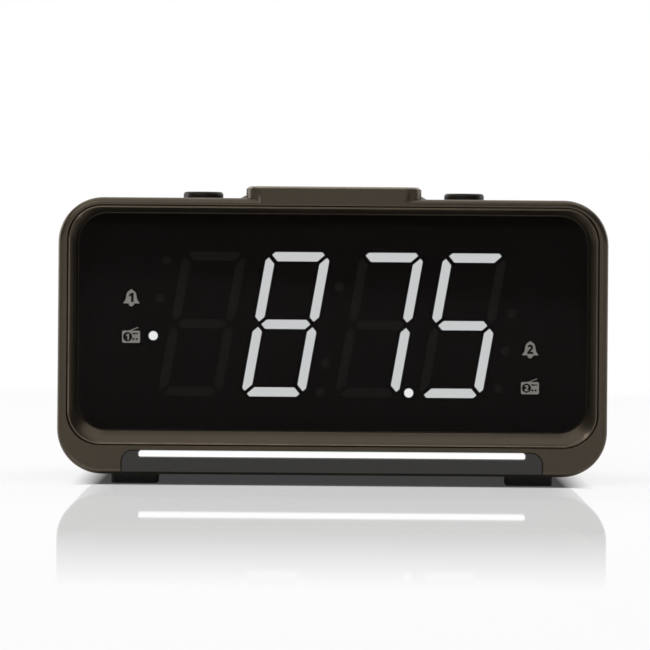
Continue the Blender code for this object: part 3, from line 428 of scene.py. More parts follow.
def moulded(
    name, colour, roughness, metallic=0.0, tone=0.07, grain=2600.0, depth=0.008, edge_wear_and_highlight=0.3, shine=0.5
):
    """Moulded or sprayed plastic: slow tone drift, fine grain, and lighter edges, a little for
    rubbed wear and strongly for a painted highlight.
    """
    nodes = Nodes(name)
    dark = toned(colour, 1 - tone)
    light = toned(colour, 1 + tone)
    flake = nodes.noise(grain, 2.0)
    drift = nodes.spread(nodes.noise(45.0, 2.0), 0.2, 0.5)
    tones = nodes.math("ADD", drift, nodes.spread(flake, 0.0, 0.4))
    base = nodes.blend(tones, dark, light)
    if edge_wear_and_highlight:
        base = nodes.worn_and_highlit_edges(base, toned(colour, EDGE_WEAR_AND_HIGHLIGHT), edge_wear_and_highlight)
    nodes.feed("Base Color", base)
    rough = nodes.spread(nodes.noise(420.0), roughness * 0.94, roughness * 1.07)
    nodes.feed("Roughness", rough)
    nodes.bump(flake, 0.35, depth * MM)
    nodes.set({"Metallic": metallic, "Specular IOR Level": shine})
    return nodes.material


def glowing(name, colour, strength):
    """A light guide: frosted plastic, lit from behind."""
    nodes = Nodes(name)
    frost = nodes.noise(1500.0, 2.0)
    dark = toned(colour, 0.3)
    light = toned(colour, 0.4)
    nodes.feed("Base Color", nodes.blend(frost, dark, light))
    nodes.feed("Roughness", nodes.spread(frost, 0.4, 0.6))
    nodes.bump(frost, 0.2, 0.01 * MM)
    nodes.set({"Emission Color": (*colour, 1.0), "Emission Strength": strength})
    return nodes.material


def smoked(name, colour, cover):
    """A smoked window: dark see-through plastic with polished, faintly uneven faces."""
    nodes = Nodes(name)
    haze = nodes.noise(60.0, 2.0)
    light = toned(colour, 1.3)
    nodes.feed("Base Color", nodes.blend(haze, colour, light))
    nodes.feed("Roughness", nodes.spread(nodes.noise(300.0), 0.05, 0.09))
    nodes.bump(haze, 0.05, 0.1 * MM)
    nodes.set({"Alpha": cover, "Specular IOR Level": 0.09})
    return nodes.material


def brushed(name, colour, roughness, stretch):
    """Rolled or plated metal with fine streaks along X."""
    nodes = Nodes(name)
    streak = nodes.noise(900.0, 4.0, stretch)
    dark = toned(colour, 0.8)
    nodes.feed("Base Color", nodes.blend(streak, dark, colour))
    rough = nodes.spread(streak, roughness * 0.8, roughness * 1.25)
    nodes.feed("Roughness", rough)
    nodes.bump(streak, 0.2, 0.01 * MM)
    nodes.set({"Metallic": 1.0})
    return nodes.material


def solder_mask(name):
    """Green solder mask that dips between lighter copper tracks."""
    nodes = Nodes(name)
    levels = {
        "Scale": 220.0,
        "Mortar Size": 0.03,
        "Color1": (0.008, 0.085, 0.035, 1.0),
        "Color2": (0.012, 0.11, 0.045, 1.0),
        "Mortar": (0.03, 0.2, 0.09, 1.0),
    }
    bricks = nodes.add("ShaderNodeTexBrick", levels)
    nodes.join(nodes.place, bricks.inputs["Vector"])
    nodes.feed("Base Color", bricks.outputs["Color"])
    nodes.feed("Roughness", nodes.spread(nodes.noise(500.0), 0.28, 0.42))
    nodes.bump(bricks.outputs["Fac"], 0.3, 0.03 * MM)
    return nodes.material


BRONZE = (0.088, 0.072, 0.053)
MATERIALS = {
    "bronze": moulded("bronze_satin", BRONZE, 0.34, 0.92, tone=0.05, edge_wear_and_highlight=0.0),
    # Painted highlight: the bezel's lip gets the full lighter edge colour, standing in for light
    # caught on its rounding
    "bronze_lip_painted_highlight": moulded("bronze_lip_painted_highlight", BRONZE, 0.34, 0.92, tone=0.05, edge_wear_and_highlight=1.0),
    "bronze_key": moulded("bronze_key_satin", (0.24, 0.206, 0.163), 0.3, 0.7),
    "gloss_button": moulded("gloss_button", (0.022, 0.015, 0.010), 0.36, depth=0.003, shine=0.18),
    "graphite": moulded("graphite_satin", (0.038, 0.036, 0.034), 0.42, 0.15, edge_wear_and_highlight=0.0),
    "black": moulded("moulded_black", (0.012, 0.011, 0.011), 0.5),
    "mask": moulded("display_mask", (0.006, 0.0045, 0.0038), 0.6, edge_wear_and_highlight=0.0, shine=0.05),
    "unlit": moulded("unlit_segment", (0.05, 0.042, 0.037), 0.5, grain=1200.0, edge_wear_and_highlight=0.0),
    "ink": moulded("icon_ink", (0.29, 0.275, 0.248), 0.55, grain=1800.0, edge_wear_and_highlight=0.0),
    "ink_dark": moulded("icon_cut_out", (0.004, 0.003, 0.003), 0.6, edge_wear_and_highlight=0.0, shine=0.05),
    "key_ink": moulded("key_symbol_ink", (0.45, 0.43, 0.4), 0.5, grain=1800.0, edge_wear_and_highlight=0.0),
    "rubber": moulded("foot_rubber", (0.012, 0.011, 0.011), 0.75, tone=0.2, depth=0.03),
    "paper": moulded("cone_paper", (0.02, 0.02, 0.021), 0.85, tone=0.3, grain=900.0, depth=0.05),
    "ferrite": moulded("ferrite", (0.03, 0.03, 0.032), 0.6, 0.2, tone=0.2),
    "cell": moulded("cell_sleeve", (0.03, 0.09, 0.06), 0.3, 0.3),
    "capacitor": moulded("capacitor_sleeve", (0.015, 0.015, 0.02), 0.25),
    "ribbon": moulded("ribbon_cable", (0.4, 0.4, 0.38), 0.5),
    "lit": glowing("lit_segment", (0.97, 0.99, 1.0), 2.0),
    "lit_point": glowing("lit_point", (0.98, 0.99, 1.0), 2.8),
    "strip": glowing("lit_strip", (1.0, 1.0, 1.0), 0.82),
    "window": smoked("smoked_window", (0.004, 0.003, 0.0025), 0.47),
    "steel": brushed("plated_steel", (0.55, 0.55, 0.57), 0.32, (0.05, 1.0, 1.0)),
    "board": solder_mask("solder_mask"),
}
SLOT_FINISHES = {slot: slot for slot in ("steel", "rubber", "ribbon")}
SLOT_FINISHES |= {"black_plastic": "black", "circuit_board": "board", "magnet": "ferrite"}
SLOT_FINISHES |= {"cone_paper": "paper", "cell_sleeve": "cell", "capacitor_sleeve": "capacitor"}


# Pieces


def linked(name, data):
    item = bpy.data.objects.new(name, data)
    bpy.context.scene.collection.objects.link(item)
    return item


def mesh_object(name, bm):
    bmesh.ops.recalc_face_normals(bm, faces=bm.faces)
    mesh = bpy.data.meshes.new(name)
    bm.to_mesh(mesh)
    bm.free()
    return linked(name, mesh)


def combine(item, bm, operation):
    """Works a guide's shells into an item's mesh."""
    guide = mesh_object(item.name + "_guide", bm)
    boolean = item.modifiers.new(operation, "BOOLEAN")
    boolean.operation = operation
    boolean.solver = "EXACT"
    boolean.use_self = True
    boolean.object = guide
    depsgraph = bpy.context.evaluated_depsgraph_get()
    made = bpy.data.meshes.new_from_object(item.evaluated_get(depsgraph))
    item.modifiers.clear()
    item.data = made
    bpy.data.objects.remove(guide)


def solid(name, add, *shape, **settings):
    """An object made of one closed shape."""
    bm = bmesh.new()
    add(bm, *shape, **settings)
    return mesh_object(name, bm)


def cut(item, add, *shape):
    """Takes one closed shape away from an item's mesh."""
    bm = bmesh.new()
    add(bm, *shape)
    combine(item, bm, "DIFFERENCE")


def soften(item, width=SOFT_EDGE, segments=2):
    """Rounds a shell's hard edges a little, so that they catch the light."""
    bm = bmesh.new()
    bm.from_mesh(item.data)
    bmesh.ops.remove_doubles(bm, verts=bm.verts, dist=SAME_POINT)
    bmesh.ops.dissolve_degenerate(bm, edges=bm.edges, dist=SAME_POINT)
    bm.to_mesh(item.data)
    bm.free()
    bevel = item.modifiers.new("edges", "BEVEL")
    bevel.width = width
    bevel.segments = segments
    bevel.limit_method = "ANGLE"
    bevel.angle_limit = SOFT_ANGLE
    item.modifiers.new("seams", "WELD").merge_threshold = SAME_POINT
    normals = item.modifiers.new("normals", "WEIGHTED_NORMAL")
    normals.weight = 100
    normals.keep_sharp = True


def finish(item, material, nodes, body="chassis"):
    item.data.materials.clear()
    item.data.materials.append(MATERIALS[material])
    item.data.shade_smooth()
    item.data.set_sharp_from_angle(angle=SMOOTH_ANGLE)
    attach(item, body)
    if nodes:
        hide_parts(*nodes)


# Cabinet


def body_ring(inset, y):
    outline = rounded_rect(
        BODY_WIDTH - 2 * inset, BODY_HEIGHT - 2 * inset, BODY_RADIUS - inset, (0, BODY_MID)
    )
    return upright(outline, y)


def opening_ring(inset, y):
    """A ring of the opening in the cabinet's front that the bezel sits in."""
    corners = front_corners(BEZEL_LOW, BEZEL_HIGH)
    return upright(box_outline(corners, BEZEL_RADIUS - GAP, GAP - inset), y)


def lens_ring(inset, y):
    corners = front_corners(LENS_LOW, LENS_HIGH)
    return upright(box_outline(corners, LENS_RADIUS, -inset), y)


def corner_bosses():
    """Centres of the four rear cover screws, in from the cabinet's rounded corners."""
    offset = BODY_RADIUS - SCREW_REACH * math.sqrt(0.5)
    reach_x = BODY_WIDTH / 2 - offset
    reach_z = BODY_HEIGHT / 2 - offset
    return [(sx * reach_x, BODY_MID + sz * reach_z) for sz in (1, -1) for sx in (-1, 1)]


def hump_outline(grow):
    return box_outline(top_corners(SNOOZE_LOW, SNOOZE_HIGH), HUMP_RADIUS, grow)


def hump_rings():
    """The hump under the snooze key, level with the front face and finely rounded at its rim."""
    rim_top = HUMP_TOP + HUMP_RIM_RISE
    crown = [(-inset, rim_top - drop) for inset, drop in reversed(round_steps(HUMP_ROUND, 3))]
    levels = [(0.0, BODY_TOP - EDGE_ROUND)] + crown
    rings = []
    for grow, z in levels:
        front = FRONT - grow
        rings.append(flat([(u, max(v, front)) for u, v in hump_outline(grow)], z))
    return rings


def cut_front(shell):
    cut(shell, add_prism, panel_outline(PLAY), FRONT - MM, PANEL_HIGH.y + 0.4 * MM, upright)
    corners = front_corners(BAR_LOW, BAR_HIGH)
    window = box_outline(corners, BAR_RADIUS, PLAY, 4)
    cut(shell, add_prism, window, FRONT - MM, FRONT + FRONT_WALL + MM, upright)


def cut_top(shell):
    rim = hump_outline(-HUMP_RIM)
    cut(shell, add_prism, rim, HUMP_TOP, HUMP_TOP + MM, flat)
    slot = rounded_rect(PLUNGER_SIZE[0] + MM, PLUNGER_SIZE[1] + 0.8 * MM, MM, (0, KEY_LINE_Y), 4)
    cut(shell, add_prism, slot, BODY_TOP - 2 * WALL, HUMP_TOP + MM, flat)
    for name in ("round_button_left", "round_button_right"):
        middle = node_middle(name)
        hole = circle(BUTTON_RADIUS + PLAY, (middle.x, middle.y))
        cut(shell, add_prism, hole, BODY_TOP - WALL - MM, BODY_TOP + MM, flat)
    window = box_outline(top_corners(ISLAND_LOW, ISLAND_HIGH), 2.6 * MM, -2.2 * MM, 4)
    cut(shell, add_prism, window, BODY_TOP - WALL - MM, BODY_TOP + MM, flat)


def add_foot_pockets(bm):
    for index in range(4):
        low, high = node_box(f"foot_{index + 1}")
        outline = box_outline(top_corners(low, high), FOOT_RADIUS, GAP, 6)
        add_prism(bm, outline, 0.0, high.z + GAP, flat)


def cut_door_track(shell):
    half = DOOR_HIGH.x - DOOR_RAIL_REACH + 0.4 * MM
    shoulder = BODY_BOTTOM + DOOR_SKIN + 0.1 * MM
    wide = half + DOOR_RAIL_REACH
    front = DOOR_LOW.y - PLAY
    beyond = REAR + 5 * MM
    cut(shell, add_box, (-half, front, BODY_BOTTOM - MM), (half, beyond, shoulder + MM))
    cut(shell, add_box, (-wide, front, shoulder), (wide, beyond, BODY_BOTTOM + WALL + 0.2 * MM))


def build_housing():
    rings = [body_ring(FINE_EDGE, SEAM_FRONT), body_ring(0, SEAM_FRONT - FINE_EDGE)]
    for inset, drop in reversed(round_steps(EDGE_ROUND)):
        rings.append(body_ring(inset, FRONT + drop))
    for inset, drop in round_steps(OPENING_ROUND, 5):
        rings.append(opening_ring(-inset, FRONT + drop))
    rings.append(opening_ring(0, FRONT + FRONT_WALL))
    rings.append(body_ring(WALL, FRONT + FRONT_WALL))
    rings.append(body_ring(WALL, SEAM_FRONT))
    shell = solid("housing_shell", add_rings, rings, closed=True)

    bm = bmesh.new()
    add_rings(bm, hump_rings())
    end = SEAM - LIP_DEPTH - 0.4 * MM
    boss = [(PILOT_RADIUS, end - BOSS_LENGTH), (BOSS_RADIUS, end - BOSS_LENGTH)]
    boss += [(BOSS_RADIUS, end), (PILOT_RADIUS, end)]
    for x, z in corner_bosses():
        add_turned(bm, boss, (x, 0, z), BACKWARDS, 32)
    combine(shell, bm, "UNION")

    cut_front(shell)
    cut_top(shell)
    cut(shell, add_foot_pockets)
    cut_door_track(shell)
    soften(shell)
    finish(shell, "bronze", ["housing"])


def build_rear_cover():
    lip = WALL + GAP
    inner = lip + LIP_WALL
    levels = [(inset, REAR - drop) for inset, drop in round_steps(EDGE_ROUND)]
    levels += [(0, SEAM + FINE_EDGE), (FINE_EDGE, SEAM), (lip, SEAM), (lip, SEAM - LIP_DEPTH)]
    levels += [(inner, SEAM - LIP_DEPTH), (inner, SEAM + COVER_RECESS)]
    cover = solid("rear_cover_shell", add_rings, [body_ring(*level) for level in levels])

    head = SCREW_HEAD_RADIUS + 0.5 * MM
    seat = REAR - 1.55 * MM
    hole = [(0, SEAM - MM), (PILOT_RADIUS, SEAM - MM), (PILOT_RADIUS, seat)]
    hole += [(head, seat), (head, REAR + MM), (0, REAR + MM)]
    bm = bmesh.new()
    for x, z in corner_bosses():
        add_turned(bm, hole, (x, 0, z), BACKWARDS, HOLE_STEPS)
    add_grille_slots(bm)
    jack = node_middle("dc_jack")
    half = jack_half_width() + PLAY
    window = rounded_rect(2 * half, 2 * half, 0.6 * MM, (jack.x, jack.z), 4)
    add_prism(bm, window, SEAM - MM, REAR + MM, upright)
    gland = node_middle("antenna_gland")
    hole = circle(GLAND_RADIUS + PLAY, (gland.x, gland.z), HOLE_STEPS)
    add_prism(bm, hole, SEAM, REAR + MM, upright)
    combine(cover, bm, "DIFFERENCE")
    cut_door_track(cover)
    soften(cover)
    finish(cover, "bronze", ["rear_cover"])


def jack_half_width():
    low, high = node_box("dc_jack")
    return (high.x - low.x) / 2


def add_grille_slots(bm):
    """Upright round-ended slots, each as tall as the speaker circle is at its place."""
    speaker = node_middle("speaker_frame")
    count = int(GRILLE_RADIUS / GRILLE_PITCH)
    for i in range(-count, count + 1):
        x = i * GRILLE_PITCH
        height = 2 * math.sqrt(GRILLE_RADIUS**2 - x**2)
        place = (speaker.x + x, speaker.z)
        outline = rounded_rect(GRILLE_SLOT, height, GRILLE_END, place, 6)
        add_prism(bm, outline, SEAM - MM, REAR + MM, upright)


def build_front_bezel():
    """The sloped frame around the window; its rounded lip stands just proud of the cabinet."""
    back = FRONT + BEZEL_DEPTH
    flange = FRONT + FRONT_WALL + GAP
    ledge = LENS_HIGH.y + GAP
    lip = opening_ring(BEZEL_GAP + LIP_FLAT, FRONT - BEZEL_PROUD)
    inner = lens_ring(-PLAY, LENS_LOW.y - 0.1 * MM)
    levels = [(BEZEL_GAP, back), (BEZEL_GAP, flange + MM), (-BEZEL_FLANGE, flange + MM)]
    levels += [(-BEZEL_FLANGE, flange), (BEZEL_GAP, flange)]
    for inset, drop in reversed(round_steps(BEZEL_ROUND, 5)):
        levels.append((BEZEL_GAP + inset, FRONT - BEZEL_PROUD + drop))
    rings = [opening_ring(*level) for level in levels]
    for step in range(SLOPE_STEPS + 1):
        share = step / SLOPE_STEPS
        bulge = Vector((0, -SLOPE_BULGE * math.sin(share * math.pi), 0))
        rings.append([a.lerp(b, share) + bulge for a, b in zip(lip, inner)])
    levels = [(-PLAY, ledge), (LENS_LEDGE, ledge), (LENS_LEDGE, back)]
    rings += [lens_ring(*level) for level in levels]
    bezel = solid("bezel_frame", add_rings, rings, closed=True)
    # The lip's edges carry a painted highlight from the lighter edge colour
    finish(bezel, "bronze_lip_painted_highlight", ["front_bezel"])


def build_window():
    """The smoked window with a black border printed on its back, over the bezel's ledge."""
    levels = [(inset, LENS_LOW.y + drop) for inset, drop in round_steps(0.25 * MM, 4)]
    rings = [lens_ring(*level) for level in levels + [(0.0, LENS_HIGH.y)]]
    window = solid("window_sheet", add_rings, rings)
    finish(window, "window", ["window_lens"])

    start = LENS_HIGH.y + PRINT_BORDER
    end = start + 0.05 * MM
    inner = LENS_LEDGE + 0.6 * MM
    levels = [(0.1 * MM, start), (inner, start), (inner, end), (0.1 * MM, end)]
    rings = [lens_ring(inset, y) for inset, y in levels]
    finish(solid("window_border", add_rings, rings, closed=True), "mask", [])


# Night light


def panel_outline(grow):
    """The night light panel: square at the bottom, with two rounded top corners."""
    half = PANEL_HIGH.x + grow
    high = PANEL_HIGH.z + grow
    radius = PANEL_RADIUS + grow
    points = [(-half, PANEL_LOW.z - grow), (half, PANEL_LOW.z - grow)]
    points += arc((half - radius, high - radius), radius, 0, 90, CORNER_STEPS)
    points += arc((radius - half, high - radius), radius, 90, 180, CORNER_STEPS)
    return points


def build_night_light():
    half = BAR_HIGH.x + BAR_GAP
    floor = BAR_LOW.z - BAR_GAP
    outline = panel_outline(0)
    middle = 2 + CORNER_STEPS + 1
    high = PANEL_HIGH.z
    notch = [(half, high), (half, floor), (-half, floor), (-half, high)]
    outline = outline[:middle] + notch + outline[middle:]
    panel = solid("night_light_panel", add_prism, outline, FRONT, PANEL_HIGH.y, upright)
    soften(panel, 0.25 * MM, 3)
    finish(panel, "graphite", ["nightlight_panel"])

    corners = front_corners(BAR_LOW, BAR_HIGH)
    levels = [(inset, FRONT + drop) for inset, drop in round_steps(0.2 * MM, 4)]
    rings = [
        upright(box_outline(corners, BAR_RADIUS, -inset, 6), y)
        for inset, y in levels + [(0.0, BAR_HIGH.y)]
    ]
    bar = solid("night_light_strip", add_rings, rings)
    finish(bar, "strip", ["nightlight_bar"])


# Display


def lean(outline):
    """Slants points of an upright digit about the digits' middle height."""
    return [(u + v * math.tan(DIGIT_SLANT), v + DIGIT_CENTRE_Z) for u, v in outline]


def corner_bar():
    """The upper right bar of an upright digit, pointed at its corner and at the middle."""
    outer = DIGIT_HALF_WIDTH
    inner = outer - STROKE
    tip = (outer - TIP_INSET, DIGIT_HALF_HEIGHT - CORNER_SPACE)
    foot = ((outer + inner) / 2, MIDDLE_SPACE)
    return [
        foot,
        (outer, foot[1] + STROKE / 2),
        (outer, tip[1] - TIP_INSET),
        tip,
        (inner, tip[1] - STROKE + TIP_INSET),
        (inner, foot[1] + STROKE / 2),
    ]


def top_bar():
    outer = DIGIT_HALF_HEIGHT
    inner = outer - STROKE
    tip = DIGIT_HALF_WIDTH - CORNER_SPACE
    right = [(tip - STROKE + TIP_INSET, inner), (tip, outer - TIP_INSET), (tip - TIP_INSET, outer)]
    return right + [(-u, v) for u, v in reversed(right)]


def middle_bar():
    tip = DIGIT_HALF_WIDTH - STROKE / 2 - MIDDLE_SPACE
    right = [(tip - STROKE / 2, -STROKE / 2), (tip, 0.0), (tip - STROKE / 2, STROKE / 2)]
    return right + [(-u, v) for u, v in reversed(right)]


def digit_bars():
    """The seven bars of an upright digit, in the usual order from the top bar to the middle."""
    upper = corner_bar()
    top = top_bar()
    return {
        "a": top,
        "b": upper,
        "c": [(u, -v) for u, v in reversed(upper)],
        "d": [(u, -v) for u, v in reversed(top)],
        "e": [(-u, -v) for u, v in upper],
        "f": [(-u, v) for u, v in reversed(upper)],
        "g": middle_bar(),
    }


def digit_centres():
    """Horizontal middles of the four digits; the pairs stand apart by the colon's space."""
    half = (3 * DIGIT_PITCH + COLON_SPACE) / 2
    places = (-half, -half + DIGIT_PITCH, half - DIGIT_PITCH, half)
    return [DIGIT_CENTRE_X + place for place in places]


def point_places():
    """Upright-digit places of the colon, the decimal points and the outer indicators."""
    centres = digit_centres()
    low = STROKE / 2 - DIGIT_HALF_HEIGHT
    middle = DIGIT_CENTRE_X
    places = {"colon_high": (middle, COLON_REACH), "colon_low": (middle, -COLON_REACH)}
    places["point_2"] = ((centres[1] + centres[2]) / 2, low)
    places["point_3"] = ((centres[2] + centres[3]) / 2, low)
    for side, name in ((-1, "left"), (1, "right")):
        outer = middle + side * (centres[3] - middle + DOT_OUTSET)
        for step in range(3):
            height = -side * (DOT_START - step * DOT_PITCH)
            places[f"{name}_{step + 1}"] = (outer, height)
    return places


SHOWN = ("", "abcdefg", "abc", "acdfg")
LIT_POINTS = ("point_3", "left_3")


def display_plate(name, outlines, material):
    bm = bmesh.new()
    front = DIFFUSER_LOW.y - LIGHTS_PROUD
    for outline in outlines:
        add_prism(bm, outline, front, DIFFUSER_LOW.y - 0.01 * MM, upright)
    plate = mesh_object(name, bm)
    finish(plate, material, [])


def build_display():
    corners = front_corners(DIFFUSER_LOW, DIFFUSER_HIGH)
    outline = box_outline(corners, LENS_RADIUS - LENS_LEDGE)
    mask = solid("display_mask", add_prism, outline, DIFFUSER_LOW.y, DIFFUSER_HIGH.y, upright)
    finish(mask, "mask", ["display_diffuser"])

    lit, unlit = [], []
    for centre, shown in zip(digit_centres(), SHOWN):
        for name, bar in digit_bars().items():
            (lit if name in shown else unlit).append(lean(moved(bar, (centre, 0.0))))
    display_plate("segments_lit", lit, "lit")
    display_plate("segments_unlit", unlit, "unlit")

    lit, unlit = [], []
    for name, place in point_places().items():
        dot = circle(POINT_RADIUS, lean([place])[0], 40)
        (lit if name in LIT_POINTS else unlit).append(dot)
    display_plate("points_lit", lit, "lit_point")
    display_plate("points_unlit", unlit, "unlit")


# Printed symbols: each is drawn about its own middle, in units of its size


def bell_outline():
    """A small bell with a knob, a domed crown, a flared skirt and a round clapper."""
    right = arc((0.0, -0.35), 0.15, -90, 0, 6)
    right += [(0.15, -0.33), (0.44, -0.33), (0.47, -0.3), (0.45, -0.265)]
    right += [(0.36, -0.17), (0.31, -0.02)]
    right += [(u, 0.12 + 1.08 * v) for u, v in arc((0.0, 0.0), 0.29, 0, 78, 10)]
    right += [(0.05, 0.45), (0.035, 0.485), (0.0, 0.5)]
    return right + [(-u, v) for u, v in reversed(right[1:-1])]


def radio_outlines():
    """A small radio: a rounded case under a slanting aerial with a knob at its end."""
    case = rounded_rect(1.12, 0.76, 0.1, steps=5)
    aerial = [(-0.15, 0.381), (-0.02, 0.381), (0.35, 0.525), (0.335, 0.57)]
    return [case, aerial, circle(0.04, (0.385, 0.565), 12)]


def radio_details():
    """What stands out dark on the radio's case: a dial disc, two dashes and two dots."""
    disc = circle(0.288, (-0.216, 0.0), 28)
    long_dash = rounded_rect(0.2, 0.1, 0.03, (0.18, 0.2), 3)
    short_dash = rounded_rect(0.14, 0.075, 0.02, (0.37, 0.2), 3)
    return [disc, long_dash, short_dash] + [circle(0.07, (u, -0.144), 14) for u in (0.15, 0.35)]


def numeral_outlines():
    return {
        1: [(-0.03, -0.5), (0.24, -0.5), (0.24, 0.5), (0.04, 0.5)]
        + [(-0.26, 0.3), (-0.26, 0.06), (-0.03, 0.2)],
        2: [(-0.33, -0.5), (0.33, -0.5), (0.33, -0.28), (0.0, -0.28)]
        + arc((0.0, 0.2), 0.31, -40, 172, 14)
        + arc((0.0, 0.2), 0.07, 172, -40, 10)
        + [(-0.33, -0.32)],
    }


def scaled(outline, size, place):
    return [(place[0] + u * size, place[1] + v * size) for u, v in outline]


def build_icons():
    """Alarm and radio pictograms, printed on the window in three layers beside the dots."""
    layers = [bmesh.new() for _ in range(3)]

    def stamp(layer, outlines, size, place):
        start, end = LENS_LOW.y - (layer + 1) * INK, LENS_LOW.y - layer * INK
        for outline in outlines:
            add_prism(layers[layer], scaled(outline, size, place), start, end, upright)

    for number, x, bell_rise, radio_rise in ICON_PLACES:
        numeral = [numeral_outlines()[number]]
        bell = (x * MM, DIGIT_CENTRE_Z + bell_rise * MM)
        radio = (x * MM, DIGIT_CENTRE_Z + radio_rise * MM)
        stamp(0, [bell_outline()], BELL_SIZE, bell)
        stamp(1, numeral, BELL_NUMERAL, (bell[0], bell[1] + 0.1 * MM))
        stamp(0, radio_outlines(), RADIO_SIZE, radio)
        stamp(1, radio_details(), RADIO_SIZE, radio)
        stamp(2, numeral, DISC_NUMERAL, (radio[0] + DISC_PLACE, radio[1]))
    names = ("icon_shapes", "icon_cut_outs", "icon_numerals")
    for name, bm, material in zip(names, layers, ("ink", "ink_dark", "ink")):
        finish(mesh_object(name, bm), material, [])


# Keys


def build_snooze_key():
    """The cap sits just inside the hump's thin rim, under a wide and shallow crown."""
    under = HUMP_TOP + 0.5 * MM
    top = SNOOZE_HIGH.z
    levels = [(3.4 * MM, top - 0.08 * MM)]
    for share, fall in round_steps(1.0, 9):
        levels.append((CAP_INSET + share * CAP_CROWN[0], top - fall * CAP_CROWN[1]))
    levels += [(CAP_INSET, under + CAP_CHAMFER), (CAP_INSET + CAP_CHAMFER, under)]
    rings = [flat(hump_outline(-inset), z) for inset, z in levels]
    corners = len(rings[0]) // 4 - 1
    plunger = rounded_rect(*PLUNGER_SIZE, 0.6 * MM, (0, KEY_LINE_Y), corners)
    rings += [flat(plunger, under), flat(plunger, SNOOZE_LOW.z)]
    key = solid("snooze_cap", add_rings, rings)
    finish(key, "bronze_key", ["snooze_key"], "snooze")


def build_round_button(name, body):
    low, high = node_box(name)
    middle = (low + high) / 2
    dish = 0.25 * MM
    profile = [(0, high.z - dish)]
    for share in (0.25, 0.5, 0.75):
        reach = (BUTTON_RADIUS - 1.5 * BUTTON_ROUND) * share
        profile.append((reach, high.z - dish * (1 - share**2)))
    for inset, drop in round_steps(BUTTON_ROUND):
        profile.append((BUTTON_RADIUS - inset, high.z - drop))
    flange_top = BODY_TOP - WALL - PLAY
    profile += [(BUTTON_RADIUS, flange_top), (BUTTON_RADIUS + FLANGE, flange_top)]
    profile += [(BUTTON_RADIUS + FLANGE, low.z), (0, low.z)]
    button = solid(f"{name}_cap", add_turned, profile, (middle.x, middle.y, 0), (0, 0, 1))
    finish(button, "gloss_button", [name], body)


def build_key_island():
    """A raised surround with sloped ends that guides the row of small keys."""

    def outline_at(inset):
        low, high = top_corners(ISLAND_LOW, ISLAND_HIGH)
        low = (low[0] + inset, low[1] + inset / 2)
        high = (high[0] - inset, high[1] - inset / 2)
        return box_outline((low, high), 1.5 * MM, 0.0, 8)

    seat = box_outline(top_corners(ISLAND_LOW, ISLAND_HIGH), 3.0 * MM, -2.6 * MM, 8)
    base = BODY_TOP + ISLAND_FOOT
    top = ISLAND_HIGH.z
    levels = [(0, base), (0, base + 0.1 * MM), (ISLAND_SLOPE - 0.3 * MM, top - 0.12 * MM)]
    levels += [(ISLAND_SLOPE, top - 0.02 * MM), (ISLAND_SLOPE + 0.4 * MM, top)]
    rings = [flat(seat, ISLAND_LOW.z), flat(seat, base)]
    rings += [flat(outline_at(inset), z) for inset, z in levels]
    island = solid("key_surround", add_rings, rings)
    bm = bmesh.new()
    for index in range(FUNCTION_KEYS):
        middle = node_middle(f"function_key_{index + 1}")
        size = (FUNCTION_SIZE[0] + 0.5 * MM, FUNCTION_SIZE[1] + 0.5 * MM)
        hole = rounded_rect(*size, MM, (middle.x, middle.y), 6)
        add_prism(bm, hole, BODY_TOP - 3 * MM, top + MM, flat)
    combine(island, bm, "DIFFERENCE")
    soften(island, 0.045 * MM)
    finish(island, "bronze", ["key_island"])


def key_outline(middle, grow):
    """A small key's outline around its middle, grown by some distance."""
    size = [side + 2 * grow for side in FUNCTION_SIZE]
    return rounded_rect(*size, 0.9 * MM + min(grow, 0.0), middle, 8)


def build_function_keys():
    rounding = round_steps(0.35 * MM, 5)
    flange_top = BODY_TOP - 1.7 * MM
    flange_low = flange_top - 0.7 * MM
    for index, symbol in enumerate(function_symbols()):
        name = f"function_key_{index + 1}"
        body = f"key_{index + 1}"
        low, high = node_box(name)
        place = tuple((low + high) / 2)[:2]
        rings = [flat(key_outline(place, -inset), high.z - drop) for inset, drop in rounding]
        rings += [flat(key_outline(place, 0.0), flange_top)]
        rings += [flat(key_outline(place, FLANGE), z) for z in (flange_top, flange_low)]
        stem = rounded_rect(3 * MM, 3 * MM, 0.7 * MM, place, 8)
        rings += [flat(stem, flange_low), flat(stem, low.z)]
        key = solid(f"{name}_cap", add_rings, rings)
        finish(key, "bronze_key", [name], body)

        bm = bmesh.new()
        for outline in symbol:
            placed = scaled(outline, KEY_SYMBOL, place)
            add_prism(bm, placed, high.z, high.z + INK, flat)
        mark = mesh_object(f"{name}_symbol", bm)
        finish(mark, "key_ink", [], body)


def function_symbols():
    """Plain marks for the five small keys: alarm, radio, set, down and up."""
    ring = circle(0.5, steps=40) + [(0.5, -0.0001)]
    hole = [(u * 0.72, v * 0.72) for u, v in reversed(ring)]
    minus = rounded_rect(0.9, 0.2, 0.06, steps=3)
    bar = rounded_rect(0.2, 0.34, 0.05, (0.0, 0.28), 3)
    bar_low = rounded_rect(0.2, 0.34, 0.05, (0.0, -0.28), 3)
    hands = [(-0.04, -0.02), (0.04, -0.02), (0.04, 0.3), (-0.04, 0.3)]
    clock = [ring + hole, hands]
    return [[bell_outline()], radio_outlines(), clock, [minus], [minus, bar, bar_low]]


# Fittings


